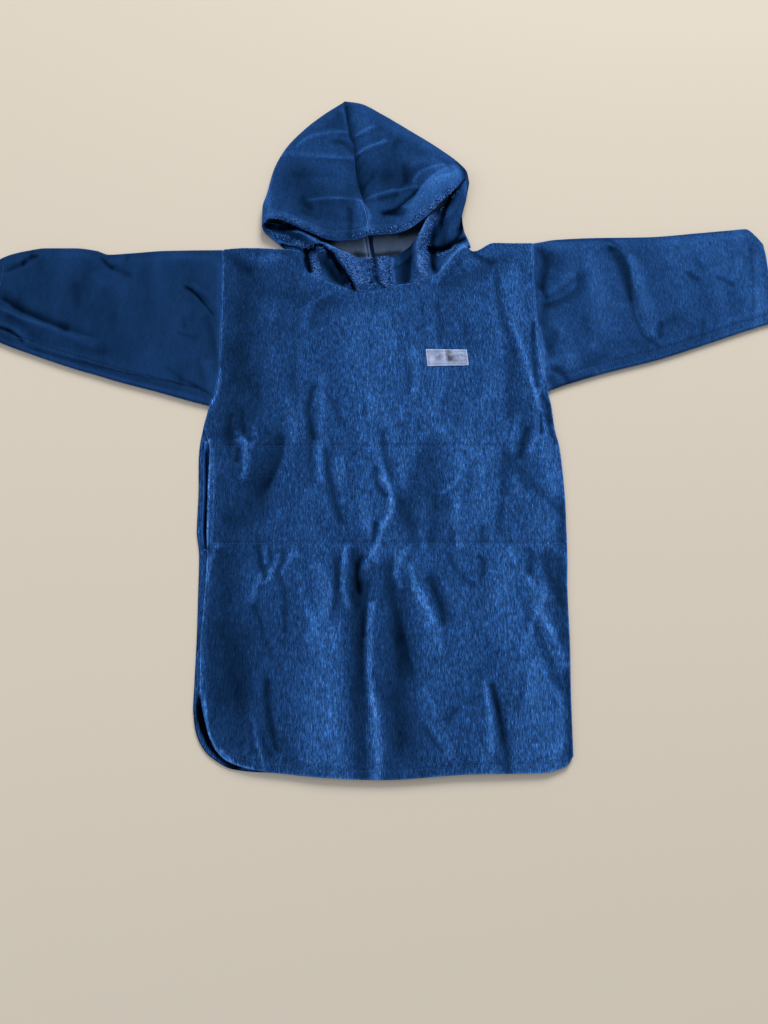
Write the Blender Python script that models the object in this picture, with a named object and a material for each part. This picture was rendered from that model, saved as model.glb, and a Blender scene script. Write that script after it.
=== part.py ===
"""A child's hooded bath poncho of towelling, laid out flat on its back with the front up.

X runs from the wearer's right sleeve to the left one, Y from the hem to the hood, and Z up from the surface
that the poncho lies on. The origin is on the back panel's underside, on its centre line, beside the pocket.
Every size is in millimetres, and becomes metres where a mesh is made.

Each piece of cloth is a surface worked out from tables: the outer face first, then the wall, moved in from it.
A panel's relief comes from a table of folds, one row for each ridge or trough.
"""

from collections import namedtuple

import bpy
import numpy as np

MM = 0.001

# Cloth walls and the room between neighbours
WALL = 2.2
POCKET_WALL = 1.2
LABEL_WALL = 1.0
SEAM_GAP = 0.4
LAYER_GAP = 0.3

# Heights of the front panel's upper face
LOWEST_TOP = WALL + LAYER_GAP + WALL
POCKET_LOWEST_TOP = WALL + POCKET_WALL + 2 * LAYER_GAP + WALL
MIDDLE_TOP = 9.0
ARMHOLE_TOP = 6.0
ARMHOLE_FROM_Y = 150.0
ARMHOLE_RISE = 30.0

# Widths over which the front settles down to its edges
SIDE_FALL = 26.0
TOP_FALL = 24.0
HEM_FALL = 22.0

# The pocket bag, sewn across the front along two lines
POCKET_LOW = -41.0
POCKET_HIGH = 82.0
POCKET_ALLOWANCE = 8.0
POCKET_RISE = 8.0
POCKET_EDGE_TOP = 7.6
POCKET_LINE_DEPTH = 1.4
POCKET_LINE_HALF_WIDTH = 6.0
POCKET_LEFT_INSET = 6.0
POCKET_RIGHT_INSET = 15.0
POCKET_RIGHT_ROOM = 14.0

# Sleeves
RIM = 2.9
SLEEVE_EDGE_TOP = 5.8
SLEEVE_TOP = 8.5
SLEEVE_LOWEST_TOP = 5.2
CUFF_TOP = 6.6
CUFF_FALL = 30.0
CUFF_HEM = 17.0
CUFF_HEM_RISE = 0.9
CUFF_HEM_STEP = 3.0
ARMHOLE_FALL = 22.0
SLEEVE_EDGE_FALL = 16.0

# Hood
HOOD_LOWEST_TOP = 5.0
HOOD_RIM = 6.0
HOOD_CROWN = 5.0
CHEEK_TOP = 5.6

# Shares of the way across a piece of the hood: where a rise ends, and where a hem band's crest is
FOLD_RISE = 0.2
BAND_RISE = 0.16
BAND_CREST = 0.86
NECK_SEAM_FALL = 0.22
NECK_SEAM_RISE = 0.15
CHEEK_SIDE_RISE = 0.18
CHEEK_CORNER = 0.3
MOUTH_LEAD = 0.6

# Label
LABEL_LEFT = 57.0
LABEL_RIGHT = 110.0
LABEL_LOW = 191.5
LABEL_HIGH = 214.5
LABEL_TURN = -2.0

Side = namedtuple("Side", "y back_left front_left right")
SIDES = (
    Side(-320, -209, -200, 210),
    Side(-215, -210, -203, 213),
    Side(-154, -211, -206, 216),
    Side(-100, -213, -205, 217),
    Side(-54, -215, -205, 220),
    Side(-23, -220, -207, 221),
    Side(21, -221, -209, 222),
    Side(77, -224, -210, 220),
    Side(109, -221, -219, 215),
    Side(137, -215, -215, 213),
    Side(155, -208, -208, 210),
    Side(190, -205, -205, 204),
    Side(230, -206, -206, 201),
    Side(286, -208, -208, 200),
    Side(320, -209, -209, 200),
    Side(376, -211, -211, 202),
)

Edge = namedtuple("Edge", "x y top")
FRONT_HEM = (
    Edge(-200, -215, 5),
    Edge(-195, -236, 5),
    Edge(-186, -257, 5),
    Edge(-167, -282, 6),
    Edge(-137, -296, 6),
    Edge(-102, -299, 6),
    Edge(-58, -303, 7),
    Edge(0, -305, 7),
    Edge(103, -299, 7),
    Edge(175, -298, 6),
    Edge(202, -291, 5),
    Edge(210, -280, 5),
)
BACK_HEM = (
    Edge(-209.5, -224, 2),
    Edge(-205, -252, 2),
    Edge(-197, -270, 2),
    Edge(-187, -281, 2),
    Edge(-162, -294, 2),
    Edge(-136, -297, 2),
    Edge(-100, -298, 2),
    Edge(0, -303, 2),
    Edge(103, -297, 2),
    Edge(175, -296, 2),
    Edge(202, -289, 2),
    Edge(210, -278, 2),
)
FRONT_TOP = (
    Edge(-211, 364, 5),
    Edge(-182, 367, 5),
    Edge(-128, 365, 5),
    Edge(-109, 362, 6),
    Edge(-101, 333, 8),
    Edge(-91, 323, 8),
    Edge(-71, 313, 8),
    Edge(-49, 305, 7),
    Edge(-33, 299, 7),
    Edge(-15, 299, 7),
    Edge(19, 309, 7),
    Edge(42, 312, 8),
    Edge(68, 320, 10),
    Edge(85, 334, 13),
    Edge(103, 357, 14),
    Edge(113, 366, 10),
    Edge(123, 362, 5),
    Edge(151, 375, 5),
    Edge(203, 374, 5),
)
BACK_NECK = (
    Edge(-128, 365, 2),
    Edge(-82, 356, 2),
    Edge(-20, 351, 2),
    Edge(52, 354, 2),
    Edge(117, 363.5, 2),
)

NECK_SIDE_RIGHT = -128.0
NECK_SIDE_LEFT = 117.0
NECK_CENTRE = -16.0
NECK_SIDE_ROOM = 5.0

# Y at which the front's columns are spaced evenly, below and above
HEM_Y = -320.0
SHOULDER_Y = 370.0

Sleeve = namedtuple("Sleeve", "x upper lower")
RIGHT_SLEEVE = (
    Sleeve(-205, 364, 136),
    Sleeve(-217, 364, 138.5),
    Sleeve(-285, 363, 158),
    Sleeve(-335, 359, 172),
    Sleeve(-363, 357, 181),
    Sleeve(-380, 363, 186),
    Sleeve(-410, 367, 196),
    Sleeve(-448, 367, 210),
    Sleeve(-472, 363, 219),
    Sleeve(-496, 356, 229),
    Sleeve(-516, 344, 237),
)
LEFT_SLEEVE = (
    Sleeve(198, 374, 155),
    Sleeve(206, 375, 157),
    Sleeve(233, 380, 167),
    Sleeve(287, 383, 184),
    Sleeve(353, 384, 202),
    Sleeve(431, 391, 229),
    Sleeve(470, 395, 243),
    Sleeve(491, 397, 250),
    Sleeve(503, 385, 254),
    Sleeve(511, 372, 257),
)

Rim = namedtuple("Rim", "x y top")
APEX = Rim(-52, 611, 5.6)
RIGHT_FOLD_ABOVE_MOUTH = (
    APEX,
    Rim(-83, 586, 6.5),
    Rim(-109, 560, 7.5),
    Rim(-134, 526, 9),
    Rim(-149, 490, 10),
    Rim(-156, 452, 12),
    Rim(-161, 428, 14),
    Rim(-161, 407, 16),
)
RIGHT_FOLD_BELOW_MOUTH = (
    Rim(-161, 407, 16),
    Rim(-158, 393, 14),
    Rim(-150, 384, 11),
    Rim(-141, 376, 8),
    Rim(-131, 368, 5.6),
)
LEFT_FOLD_ABOVE_MOUTH = (
    APEX,
    Rim(-31, 607, 6),
    Rim(2, 586, 8),
    Rim(37, 560, 9),
    Rim(82, 524, 12),
    Rim(109, 496, 16),
    Rim(118, 481, 18),
    Rim(120, 465, 20),
)
LEFT_FOLD_BELOW_MOUTH = (
    Rim(120, 465, 20),
    Rim(115, 439, 18),
    Rim(109, 411, 15),
    Rim(111, 393, 12),
    Rim(117, 377, 9),
    Rim(120, 368.5, 6.5),
)
HOOD_SEAM = (
    APEX,
    Rim(-48, 562, 10),
    Rim(-39, 523, 13),
    Rim(-36, 482, 16),
    Rim(-30, 448, 18),
    Rim(-23, 424, 20),
    Rim(-18, 400, 21),
    Rim(-15, 375, 22),
)
RIGHT_BRIM = (
    Rim(-152, 402, 16),
    Rim(-143, 408, 17),
    Rim(-130, 408, 17),
    Rim(-111, 397, 16),
    Rim(-88, 384, 15),
    Rim(-72, 375, 16),
    Rim(-55, 370, 17),
    Rim(-35, 371, 20),
    Rim(-15, 375, 22),
)
LEFT_BRIM = (
    Rim(111, 457, 20),
    Rim(100, 443, 27),
    Rim(76, 414, 31),
    Rim(56, 394, 29),
    Rim(34, 379, 26),
    Rim(15, 375, 24),
    Rim(-15, 375, 22),
)

# The cheeks' free edges: how high the edge and the hem band's crest stand, and where between the neck seam (0)
# and the edge (1) the band starts to rise.
Mouth = namedtuple("Mouth", "x y top crest band")
RIGHT_CHEEK_EDGE = (
    Mouth(-153, 401, 16, 16, 0.30),
    Mouth(-139, 397, 10, 15, 0.45),
    Mouth(-123, 392, 8, 15, 0.56),
    Mouth(-102, 385, 8, 16, 0.60),
    Mouth(-80, 376, 8, 17, 0.64),
    Mouth(-61, 369, 8, 17, 0.50),
    Mouth(-42, 356, 8, 16, 0.28),
    Mouth(-29, 352, 7, 14, 0.05),
    Mouth(-17, 351, 6, 12, 0.00),
)
LEFT_CHEEK_EDGE = (
    Mouth(111, 455, 20, 20, 0.30),
    Mouth(95, 440, 18, 19, 0.40),
    Mouth(78, 423, 14, 18, 0.50),
    Mouth(65, 407, 10, 14, 0.60),
    Mouth(41, 376, 8, 11, 0.60),
    Mouth(30, 360, 6, 8, 0.50),
    Mouth(20, 353, 6, 8, 0.40),
    Mouth(4, 351, 6, 8, 0.30),
    Mouth(-16, 351, 6, 8, 0.20),
)

# A fold's line runs through three places. Its side to the left of that line is as wide as `left`, and so on.
Fold = namedtuple("Fold", "x0 y0 x1 y1 x2 y2 left right height")
BODY_FOLDS = (
    Fold(-201, 360, -191, 344, -176, 329, 12, 12, -3),
    Fold(-177, 344, -178, 228, -175, 111, 30, 30, -4),
    Fold(-105, 243, -104, 172, -94, 104, 15, 18, 3),
    Fold(-88, 161, -86, 124, -82, 88, 8, 10, -4),
    Fold(-19, 147, -9, 107, 4, 70, 12, 12, -3),
    Fold(162, 300, 173, 224, 194, 147, 14, 10, 7),
    Fold(150, 324, 153, 257, 171, 183, 12, 9, -3),
    Fold(202, 180, 194, 142, 201, 96, 9, 9, 6),
    Fold(199, 147, 185, 96, 168, 65, 12, 12, -4),
    Fold(206, 144, 210, 104, 219, 67, 9, 9, 3),
    Fold(-170, 98, -164, 67, -167, 26, 12, 14, 6),
    Fold(-136, 85, -144, 26, -158, -37, 22, 26, -4),
    Fold(-69, 85, -62, 34, -46, -22, 10, 10, -3),
    Fold(-6, 56, 11, 13, -5, -50, 11, 11, 6),
    Fold(48, 81, 37, 13, 30, -49, 26, 24, -4),
    Fold(90, 26, 89, -12, 91, -56, 12, 12, 3),
    Fold(143, 85, 142, 20, 141, -46, 14, 10, -3),
    Fold(-127, -80, -110, -56, -92, -41, 10, 10, 3),
    Fold(-45, -40, -42, -79, -39, -126, 10, 10, 5),
    Fold(-33, -36, -27, -68, -25, -106, 10, 10, -4),
    Fold(9, -28, -11, -61, -18, -110, 11, 11, 4),
    Fold(-18, -84, -11, -199, -3, -322, 12, 12, 8),
    Fold(-35, -107, -32, -210, -27, -317, 18, 16, -3),
    Fold(20, -61, 25, -176, 21, -317, 22, 30, -4),
    Fold(22, -60, 46, -113, 74, -157, 12, 12, 4),
    Fold(53, -70, 68, -108, 82, -143, 14, 12, -4),
    Fold(160, -46, 186, -94, 176, -132, 12, 10, 4),
    Fold(174, -120, 195, -154, 213, -190, 11, 11, 4),
    Fold(193, -63, 205, -108, 212, -155, 16, 14, -3),
    Fold(124, -210, 136, -253, 145, -310, 10, 10, -5),
    Fold(115, -200, 120, -244, 124, -312, 10, 10, 4),
    Fold(40, -200, 55, -240, 70, -272, 10, 10, -3),
    Fold(-180, -80, -173, -165, -163, -240, 26, 24, -3),
    Fold(-129, -192, -123, -233, -113, -280, 10, 10, -4),
    Fold(-70, -90, -59, -210, -50, -322, 30, 26, 3),
    Fold(104, -60, 96, -188, 95, -312, 34, 34, 3),
)
RIGHT_SLEEVE_FOLDS = (
    Fold(-262, 309, -234, 287, -212, 262, 9, 9, -3),
    Fold(-500, 290, -448, 262, -360, 229, 12, 10, -4),
    Fold(-500, 272, -440, 250, -355, 220, 12, 12, 3),
    Fold(-446, 356, -473, 340, -500, 325, 10, 10, -3),
    Fold(-378, 356, -362, 338, -345, 327, 12, 12, -3),
    Fold(-380, 335, -350, 272, -335, 211, 20, 20, -2.5),
    Fold(-436, 350, -411, 287, -370, 238, 28, 26, 2.5),
    Fold(-295, 345, -288, 270, -300, 190, 24, 24, 2),
)
LEFT_SLEEVE_FOLDS = (
    Fold(208, 368, 223, 344, 206, 307, 14, 14, -4),
    Fold(210, 290, 235, 309, 260, 333, 12, 12, 4),
    Fold(205, 262, 228, 296, 265, 318, 14, 14, -4),
    Fold(231, 260, 226, 228, 217, 198, 14, 14, 4),
    Fold(301, 382, 324, 302, 350, 215, 11, 13, -5),
    Fold(318, 388, 341, 309, 362, 230, 16, 20, 4),
    Fold(205, 182, 226, 184, 238, 162, 12, 12, -4),
    Fold(420, 290, 385, 250, 360, 215, 20, 20, -3),
    Fold(424, 360, 434, 309, 440, 262, 30, 30, 2.5),
    Fold(277, 350, 275, 287, 275, 215, 26, 26, 2.5),
)
HOOD_FOLDS = (
    Fold(-120, 522, -85, 546, -44, 548, 9, 9, 2.5),
    Fold(-92, 504, -64, 501, -32, 499, 9, 9, 2.5),
    Fold(-114, 434, -69, 435, -20, 434, 9, 9, 2.5),
    Fold(-130, 479, -77, 470, -36, 463, 22, 22, -3),
    Fold(-110, 418, -68, 403, -30, 400, 16, 16, -2.5),
    Fold(-44, 540, -16, 548, 3, 560, 9, 9, 2.5),
    Fold(-44, 498, -16, 514, 18, 524, 11, 11, 3),
    Fold(-26, 425, 12, 439, 54, 445, 11, 11, 3),
    Fold(-30, 479, 0, 469, 40, 469, 22, 22, -3),
    Fold(33, 392, 60, 440, 112, 478, 12, 30, 9),
    Fold(14, 414, 38, 464, 96, 499, 15, 15, -5),
)
CHEEK_FOLDS = (
    Fold(-104, 366, -98, 344, -89, 324, 6, 6, -3),
    Fold(-91, 361, -85, 335, -78, 309, 8, 8, 2.5),
    Fold(-84, 352, -64, 330, -42, 300, 9, 9, -3),
    Fold(80, 424, 51, 366, 58, 298, 12, 10, 14),
    Fold(30, 356, 30, 332, 32, 304, 12, 12, -3),
    Fold(6, 355, 9, 329, 10, 301, 12, 12, 3.5),
    Fold(60, 352, 85, 366, 113, 380, 11, 11, -5),
    Fold(89, 436, 81, 399, 71, 362, 10, 10, -4),
    Fold(106, 446, 99, 403, 90, 368, 11, 11, 4),
)

# How finely each surface is divided
BODY_COLUMNS = 46
LOW_LEVELS = 12
POCKET_LEVELS = 6
HIGH_LEVELS = 13
SLEEVE_STATIONS = 17
SLEEVE_TOP_STEPS = 13
SLEEVE_RIM_STEPS = 4
SLEEVE_FLOOR_STEPS = 8
HOOD_ROWS_ABOVE_MOUTH = 12
HOOD_ROWS_BELOW_MOUTH = 13
HOOD_FLOOR_COLUMNS = 5
HOOD_ARC_STEPS = 4
HOOD_TOP_COLUMNS = 11
BACK_SIDE_POINTS = 23
BACK_SHOULDER_POINTS = 6
BACK_HEM_POINTS = 24
POCKET_ROWS = 6
LABEL_COLUMNS = 5
LABEL_ROWS = 3
NORMAL_PASSES = 1
SHARP_ANGLE = 1.0
FOLD_STEPS = 33

# The share of a fold's length over which each end fades out
FOLD_FADE = 0.25

# Colours of the cloth, linear RGB
TOWELLING_BLUE = (0.013, 0.052, 0.165)
POCKET_BLUE = (0.011, 0.044, 0.140)
LABEL_GREY = (0.270, 0.319, 0.456)
TOWELLING_ROUGHNESS = 0.95
LABEL_ROUGHNESS = 0.8


def clear_scene():
    for thing in list(bpy.data.objects):
        bpy.data.objects.remove(thing, do_unlink=True)


def cloth_material(name, colour, roughness):
    material = bpy.data.materials.new(name)
    material.use_nodes = True
    shader = material.node_tree.nodes["Principled BSDF"]
    shader.inputs["Base Color"].default_value = (*colour, 1)
    shader.inputs["Roughness"].default_value = roughness
    shader.inputs["Metallic"].default_value = 0
    return material


# Smooth curves and surfaces


def column(rows, name):
    return np.array([getattr(row, name) for row in rows], float)


def smooth(places, values, at):
    """The monotone cubic curve through a table, which never swings past its values."""
    order = np.argsort(places)
    places = places[order]
    values = values[order]
    step = np.diff(places)
    slope = np.diff(values) / step
    tangent = np.zeros(len(places))
    tangent[0] = slope[0]
    tangent[-1] = slope[-1]
    for i in range(1, len(places) - 1):
        if slope[i - 1] * slope[i] > 0:
            tangent[i] = 2 / (1 / slope[i - 1] + 1 / slope[i])
    at = np.clip(at, places[0], places[-1])
    i = np.clip(np.searchsorted(places, at, side="right") - 1, 0, len(step) - 1)
    t = (at - places[i]) / step[i]
    start = (1 + 2 * t) * (1 - t) ** 2 * values[i] + t * (1 - t) ** 2 * step[i] * tangent[i]
    end = t * t * (3 - 2 * t) * values[i + 1] - t * t * (1 - t) * step[i] * tangent[i + 1]
    return start + end


def by_x(rows, name, x):
    return smooth(column(rows, "x"), column(rows, name), x)


def side(name, y):
    return smooth(column(SIDES, "y"), column(SIDES, name), y)


def line_through(rows, names, share):
    """Places at the given shares of the length of the smooth line through a table's rows."""
    x = column(rows, "x")
    y = column(rows, "y")
    length = np.concatenate([[0], np.cumsum(np.hypot(np.diff(x), np.diff(y)))])
    return np.stack([smooth(length / length[-1], column(rows, name), share) for name in names], axis=-1)


def ease(share):
    share = np.clip(share, 0, 1)
    return share * share * (3 - 2 * share)


def relief(folds, x, y):
    """The height that the folds add at each place: a ridge or a trough along each line, fading out at its ends."""
    height = np.zeros(np.shape(x))
    t = np.linspace(0, 1, FOLD_STEPS)
    for fold in folds:
        start = np.array([fold.x0, fold.y0])
        middle = np.array([fold.x1, fold.y1])
        end = np.array([fold.x2, fold.y2])
        pull = 2 * middle - (start + end) / 2
        line = np.outer((1 - t) ** 2, start) + np.outer(2 * t * (1 - t), pull) + np.outer(t * t, end)
        way = np.outer(1 - t, pull - start) + np.outer(t, end - pull)
        away_x = x[..., None] - line[:, 0]
        away_y = y[..., None] - line[:, 1]
        distance = np.hypot(away_x, away_y)
        nearest = distance.argmin(axis=-1)
        near = np.take_along_axis(distance, nearest[..., None], axis=-1)[..., 0]
        turn = way[:, 0] * away_y - way[:, 1] * away_x
        on_left = np.take_along_axis(turn, nearest[..., None], axis=-1)[..., 0] > 0
        width = np.where(on_left, fold.left, fold.right)
        across = (1 + np.cos(np.pi * np.clip(near / width, 0, 1))) / 2
        fade = ease(t[nearest] / FOLD_FADE) * ease((1 - t[nearest]) / FOLD_FADE)
        height += fold.height * across * fade
    return height


def settle(height, floor, softness=0.3):
    """The height kept above a floor, rounding off softly just over it."""
    return floor + softness * np.logaddexp(0, (height - floor) / softness)


def coons(first_row, last_row, first_column, last_column):
    """A surface that fills four edge lines: rows run from first_row to last_row."""
    s = np.linspace(0, 1, len(first_column))[:, None, None]
    t = np.linspace(0, 1, len(first_row))[None, :, None]
    between_rows = (1 - s) * first_row[None] + s * last_row[None]
    between_columns = (1 - t) * first_column[:, None] + t * last_column[:, None]
    corners = (1 - s) * ((1 - t) * first_row[0] + t * first_row[-1])
    corners = corners + s * ((1 - t) * last_row[0] + t * last_row[-1])
    return between_rows + between_columns - corners


# Meshes


def grid_faces(numbers):
    """Quads between the rows and columns of an array of point numbers."""
    rows, columns = numbers.shape
    faces = []
    for i in range(rows - 1):
        for j in range(columns - 1):
            faces.append((numbers[i, j], numbers[i, j + 1], numbers[i + 1, j + 1], numbers[i + 1, j]))
    return faces


def normals(points, faces):
    """Each point's normal: the sum of those of the faces round it, by area."""
    summed = np.zeros_like(points)
    for face in faces:
        ring = points[list(face)]
        summed[list(face)] += np.cross(ring, np.roll(ring, -1, axis=0)).sum(axis=0)
    return summed / np.maximum(np.linalg.norm(summed, axis=1, keepdims=True), 1e-12)


def smoothed(vectors, faces):
    """The vectors averaged with their neighbours', so that the inner face doesn't cross itself in tight folds."""
    starts = np.concatenate([face for face in faces])
    ends = np.concatenate([np.roll(face, -1) for face in faces])
    for _ in range(NORMAL_PASSES):
        summed = vectors.copy()
        np.add.at(summed, starts, vectors[ends])
        np.add.at(summed, ends, vectors[starts])
        vectors = summed / np.linalg.norm(summed, axis=1, keepdims=True)
    return vectors


def merged(points, faces, hold):
    """The same faces with points at one place made one, and the sides that this leaves without length dropped."""
    _, first, number = np.unique(np.round(points, 4), axis=0, return_index=True, return_inverse=True)
    number = number.reshape(-1)
    kept = []
    for face in faces:
        ring = [number[k] for k in face]
        ring = [k for i, k in enumerate(ring) if k != ring[i - 1]]
        if len(set(ring)) > 2:
            kept.append(tuple(ring))
    return points[first], kept, hold[first]


def thickened(points, faces, wall, hold):
    """A closed body: the outer face, the inner face one wall in, and the rim between them.

    hold marks the directions, X and Y, in which a point on the rim doesn't move, which keeps seams upright.
    """
    inward = -smoothed(normals(points, faces), faces)
    inward[:, 0] = np.where(hold[:, 0], 0, inward[:, 0])
    inward[:, 1] = np.where(hold[:, 1], 0, inward[:, 1])
    inward /= np.linalg.norm(inward, axis=1, keepdims=True)
    inner = points + wall * inward
    count = len(points)
    edges = {}
    for face in faces:
        for i, start in enumerate(face):
            edges[(start, face[(i + 1) % len(face)])] = True
    rim = [(b, a, a + count, b + count) for a, b in edges if (b, a) not in edges]
    inside = [tuple(k + count for k in reversed(face)) for face in faces]
    return np.vstack([points, inner]), list(faces) + inside + rim


def make_cloth(name, points, faces, wall, hold, material):
    """An object of closed cloth, in metres, from an outer face in millimetres that faces out."""
    points, faces, hold = merged(points, faces, hold)
    points, faces = thickened(points, faces, wall, hold)
    mesh = bpy.data.meshes.new(name)
    mesh.from_pydata((points * MM).tolist(), [], [tuple(int(k) for k in face) for face in faces])
    mesh.materials.append(material)
    mesh.shade_smooth()
    mesh.set_sharp_from_angle(angle=SHARP_ANGLE)
    mesh.update()
    cloth = bpy.data.objects.new(name, mesh)
    bpy.context.scene.collection.objects.link(cloth)
    return cloth


def rim_of_grid(rows, columns):
    """Marks the points on the edge of a grid."""
    rim = np.zeros((rows, columns), bool)
    rim[[0, -1], :] = True
    rim[:, [0, -1]] = True
    return rim


def make_panel(name, surface, wall, material):
    """A panel from a grid of its upper face's points, whose rim stands upright."""
    rows, columns = surface.shape[:2]
    faces = grid_faces(np.arange(rows * columns).reshape(rows, columns))
    rim = rim_of_grid(rows, columns).reshape(-1)
    return make_cloth(name, surface.reshape(-1, 3), faces, wall, np.stack([rim, rim], axis=1), material)


# Front, back, pocket and label


def front_levels():
    """Levels of the front's rows: 0 at the hem, 1 and 2 on the pocket's lines, 3 at the neck and shoulders."""
    line = POCKET_LINE_HALF_WIDTH
    low = np.linspace(0, 1, LOW_LEVELS)
    low[-2] = 1 - line / (POCKET_LOW - column(FRONT_HEM, "y").min())
    pocket_height = POCKET_HIGH - POCKET_LOW
    inner_line = line / pocket_height
    middle = np.linspace(1, 2, POCKET_LEVELS)
    middle[0] += inner_line
    middle[-1] -= inner_line
    high = np.linspace(2, 3, HIGH_LEVELS)
    high = np.insert(high, 1, 2 + line / (column(FRONT_TOP, "y").max() - POCKET_HIGH))
    return np.concatenate([low, middle, high])


def top_edge_x(share):
    """X on the shoulders and neckline at a share of the front's width."""
    return side("front_left", SHOULDER_Y) * (1 - share) + side("right", SHOULDER_Y) * share


Plan = namedtuple("Plan", "x y from_left from_right from_hem from_top hem_top neck_top")


def front_plan(share, level):
    """X and Y on the front at a share of its width and a level of its height."""
    hem_x = side("front_left", HEM_Y) * (1 - share) + side("right", HEM_Y) * share
    top_x = top_edge_x(share)
    hem_y = by_x(FRONT_HEM, "y", hem_x)
    top_y = by_x(FRONT_TOP, "y", top_x)
    below = hem_y + (POCKET_LOW - hem_y) * level
    within = POCKET_LOW + (POCKET_HIGH - POCKET_LOW) * (level - 1)
    above = POCKET_HIGH + (top_y - POCKET_HIGH) * (level - 2)
    y = np.where(level < 1, below, np.where(level < 2, within, above))
    left = side("front_left", y)
    right = side("right", y)
    x = left * (1 - share) + right * share
    hem_top = by_x(FRONT_HEM, "top", hem_x)
    neck_top = by_x(FRONT_TOP, "top", top_x)
    return Plan(x, y, x - left, right - x, y - hem_y, top_y - y, hem_top, neck_top)


def pocket_zone(y):
    """1 where the pocket bag lies under the front, 0 away from it."""
    reach = POCKET_ALLOWANCE + POCKET_RISE / 2
    return ease((y - POCKET_LOW + reach) / POCKET_RISE) * ease((POCKET_HIGH + reach - y) / POCKET_RISE)


def front_height(plan):
    """The height of the front's upper face."""
    pocket = pocket_zone(plan.y)
    height = MIDDLE_TOP + relief(BODY_FOLDS, plan.x, plan.y)
    for line in (POCKET_LOW, POCKET_HIGH):
        height -= POCKET_LINE_DEPTH * ease(1 - np.abs(plan.y - line) / POCKET_LINE_HALF_WIDTH)
    height = plan.hem_top + (height - plan.hem_top) * ease(plan.from_hem / HEM_FALL)
    height = plan.neck_top + (height - plan.neck_top) * ease(plan.from_top / TOP_FALL)
    edge = LOWEST_TOP + (ARMHOLE_TOP - LOWEST_TOP) * ease((plan.y - ARMHOLE_FROM_Y) / ARMHOLE_RISE)
    left_edge = edge + (POCKET_EDGE_TOP - LOWEST_TOP) * pocket
    height = left_edge + (height - left_edge) * ease(plan.from_left / SIDE_FALL)
    height = edge + (height - edge) * ease(plan.from_right / SIDE_FALL)
    over_pocket = np.where(plan.from_right < POCKET_RIGHT_ROOM, 0, pocket)
    return settle(height, LOWEST_TOP + (POCKET_LOWEST_TOP - LOWEST_TOP) * over_pocket)


def front_surface(shares, levels):
    level, share = np.meshgrid(levels, shares, indexing="ij")
    plan = front_plan(share, level)
    return np.stack([plan.x, plan.y, front_height(plan)], axis=-1)


def neck_numbers(shares):
    """The numbers of the front's columns that meet the hood's right half and its left half."""
    top_x = top_edge_x(shares)
    centre = np.abs(top_x - NECK_CENTRE).argmin()
    first = np.flatnonzero(top_x > NECK_SIDE_RIGHT + NECK_SIDE_ROOM)[0]
    last = np.flatnonzero(top_x < NECK_SIDE_LEFT - NECK_SIDE_ROOM)[-1]
    return np.arange(first, centre + 1), np.arange(centre, last + 1)


def back_side(name, low, high):
    y = np.linspace(low, high, BACK_SIDE_POINTS)
    return np.stack([side(name, y), y], axis=1)


def back_shoulder(neck_side, armhole):
    """Places along a shoulder, between the neck's side and the armhole."""
    x = neck_side + (armhole - neck_side) * np.linspace(0, 1, BACK_SHOULDER_POINTS)[1:-1]
    return np.stack([x, by_x(FRONT_TOP, "y", x)], axis=1)


def back_outline():
    """The back panel's edge: up the wearer's left side, over the shoulders and neck, down the right, along the hem."""
    top_right, top_left = side("back_left", SHOULDER_Y), side("right", SHOULDER_Y)
    ends = by_x(FRONT_TOP, "y", np.array([top_right, top_left]))
    left = back_side("right", BACK_HEM[-1].y, ends[1])
    left_shoulder = back_shoulder(NECK_SIDE_LEFT, top_left)[::-1]
    left_neck = back_neck(np.linspace(0, 1, HOOD_FLOOR_COLUMNS + 1), NECK_SIDE_LEFT)
    right_neck = back_neck(np.linspace(1, 0, HOOD_FLOOR_COLUMNS + 1), NECK_SIDE_RIGHT)[1:]
    right_shoulder = back_shoulder(NECK_SIDE_RIGHT, top_right)
    right = back_side("back_left", ends[0], BACK_HEM[0].y)
    along_hem = line_through(BACK_HEM, ("x", "y"), np.linspace(0, 1, BACK_HEM_POINTS)[1:-1])
    return np.vstack([left, left_shoulder, left_neck, right_neck, right_shoulder, right, along_hem])


def back_neck(share, neck_side):
    """Places along the back neckline, from the neck's side to its centre."""
    x = neck_side + (NECK_CENTRE - neck_side) * share
    return np.stack([x, by_x(BACK_NECK, "y", x)], axis=-1)


def make_back(material):
    outline = back_outline()
    count = len(outline)
    points = np.column_stack([outline, np.full(count, WALL)])
    hold = np.ones((count, 2), bool)
    return make_cloth("back", points, [tuple(range(count))], WALL, hold, material)


def make_front(material):
    return make_panel("front", front_surface(np.linspace(0, 1, BODY_COLUMNS), front_levels()), WALL, material)


def make_pocket(material):
    """The pocket bag, flat between the back and the front, with a mouth at each side seam."""
    low = POCKET_LOW - POCKET_ALLOWANCE
    high = POCKET_HIGH + POCKET_ALLOWANCE
    y, share = np.meshgrid(np.linspace(low, high, POCKET_ROWS), [0.0, 1.0], indexing="ij")
    left = side("back_left", y) + POCKET_LEFT_INSET
    right = side("right", y) - POCKET_RIGHT_INSET
    x = left + (right - left) * share
    z = np.full(x.shape, WALL + LAYER_GAP + POCKET_WALL)
    return make_panel("pocket", np.stack([x, y, z], axis=-1), POCKET_WALL, material)


def label_surface(columns, rows):
    """The label's face: level with the front under it, a layer's gap and its own wall above."""
    t, s = np.meshgrid(np.linspace(0, 1, rows), np.linspace(0, 1, columns), indexing="ij")
    x = LABEL_LEFT + (LABEL_RIGHT - LABEL_LEFT) * s + LABEL_TURN * (0.5 - t)
    y = LABEL_LOW + (LABEL_HIGH - LABEL_LOW) * t
    z = np.full(x.shape, MIDDLE_TOP + LAYER_GAP + LABEL_WALL)
    return np.stack([x, y, z], axis=-1)


# Sleeves


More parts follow.
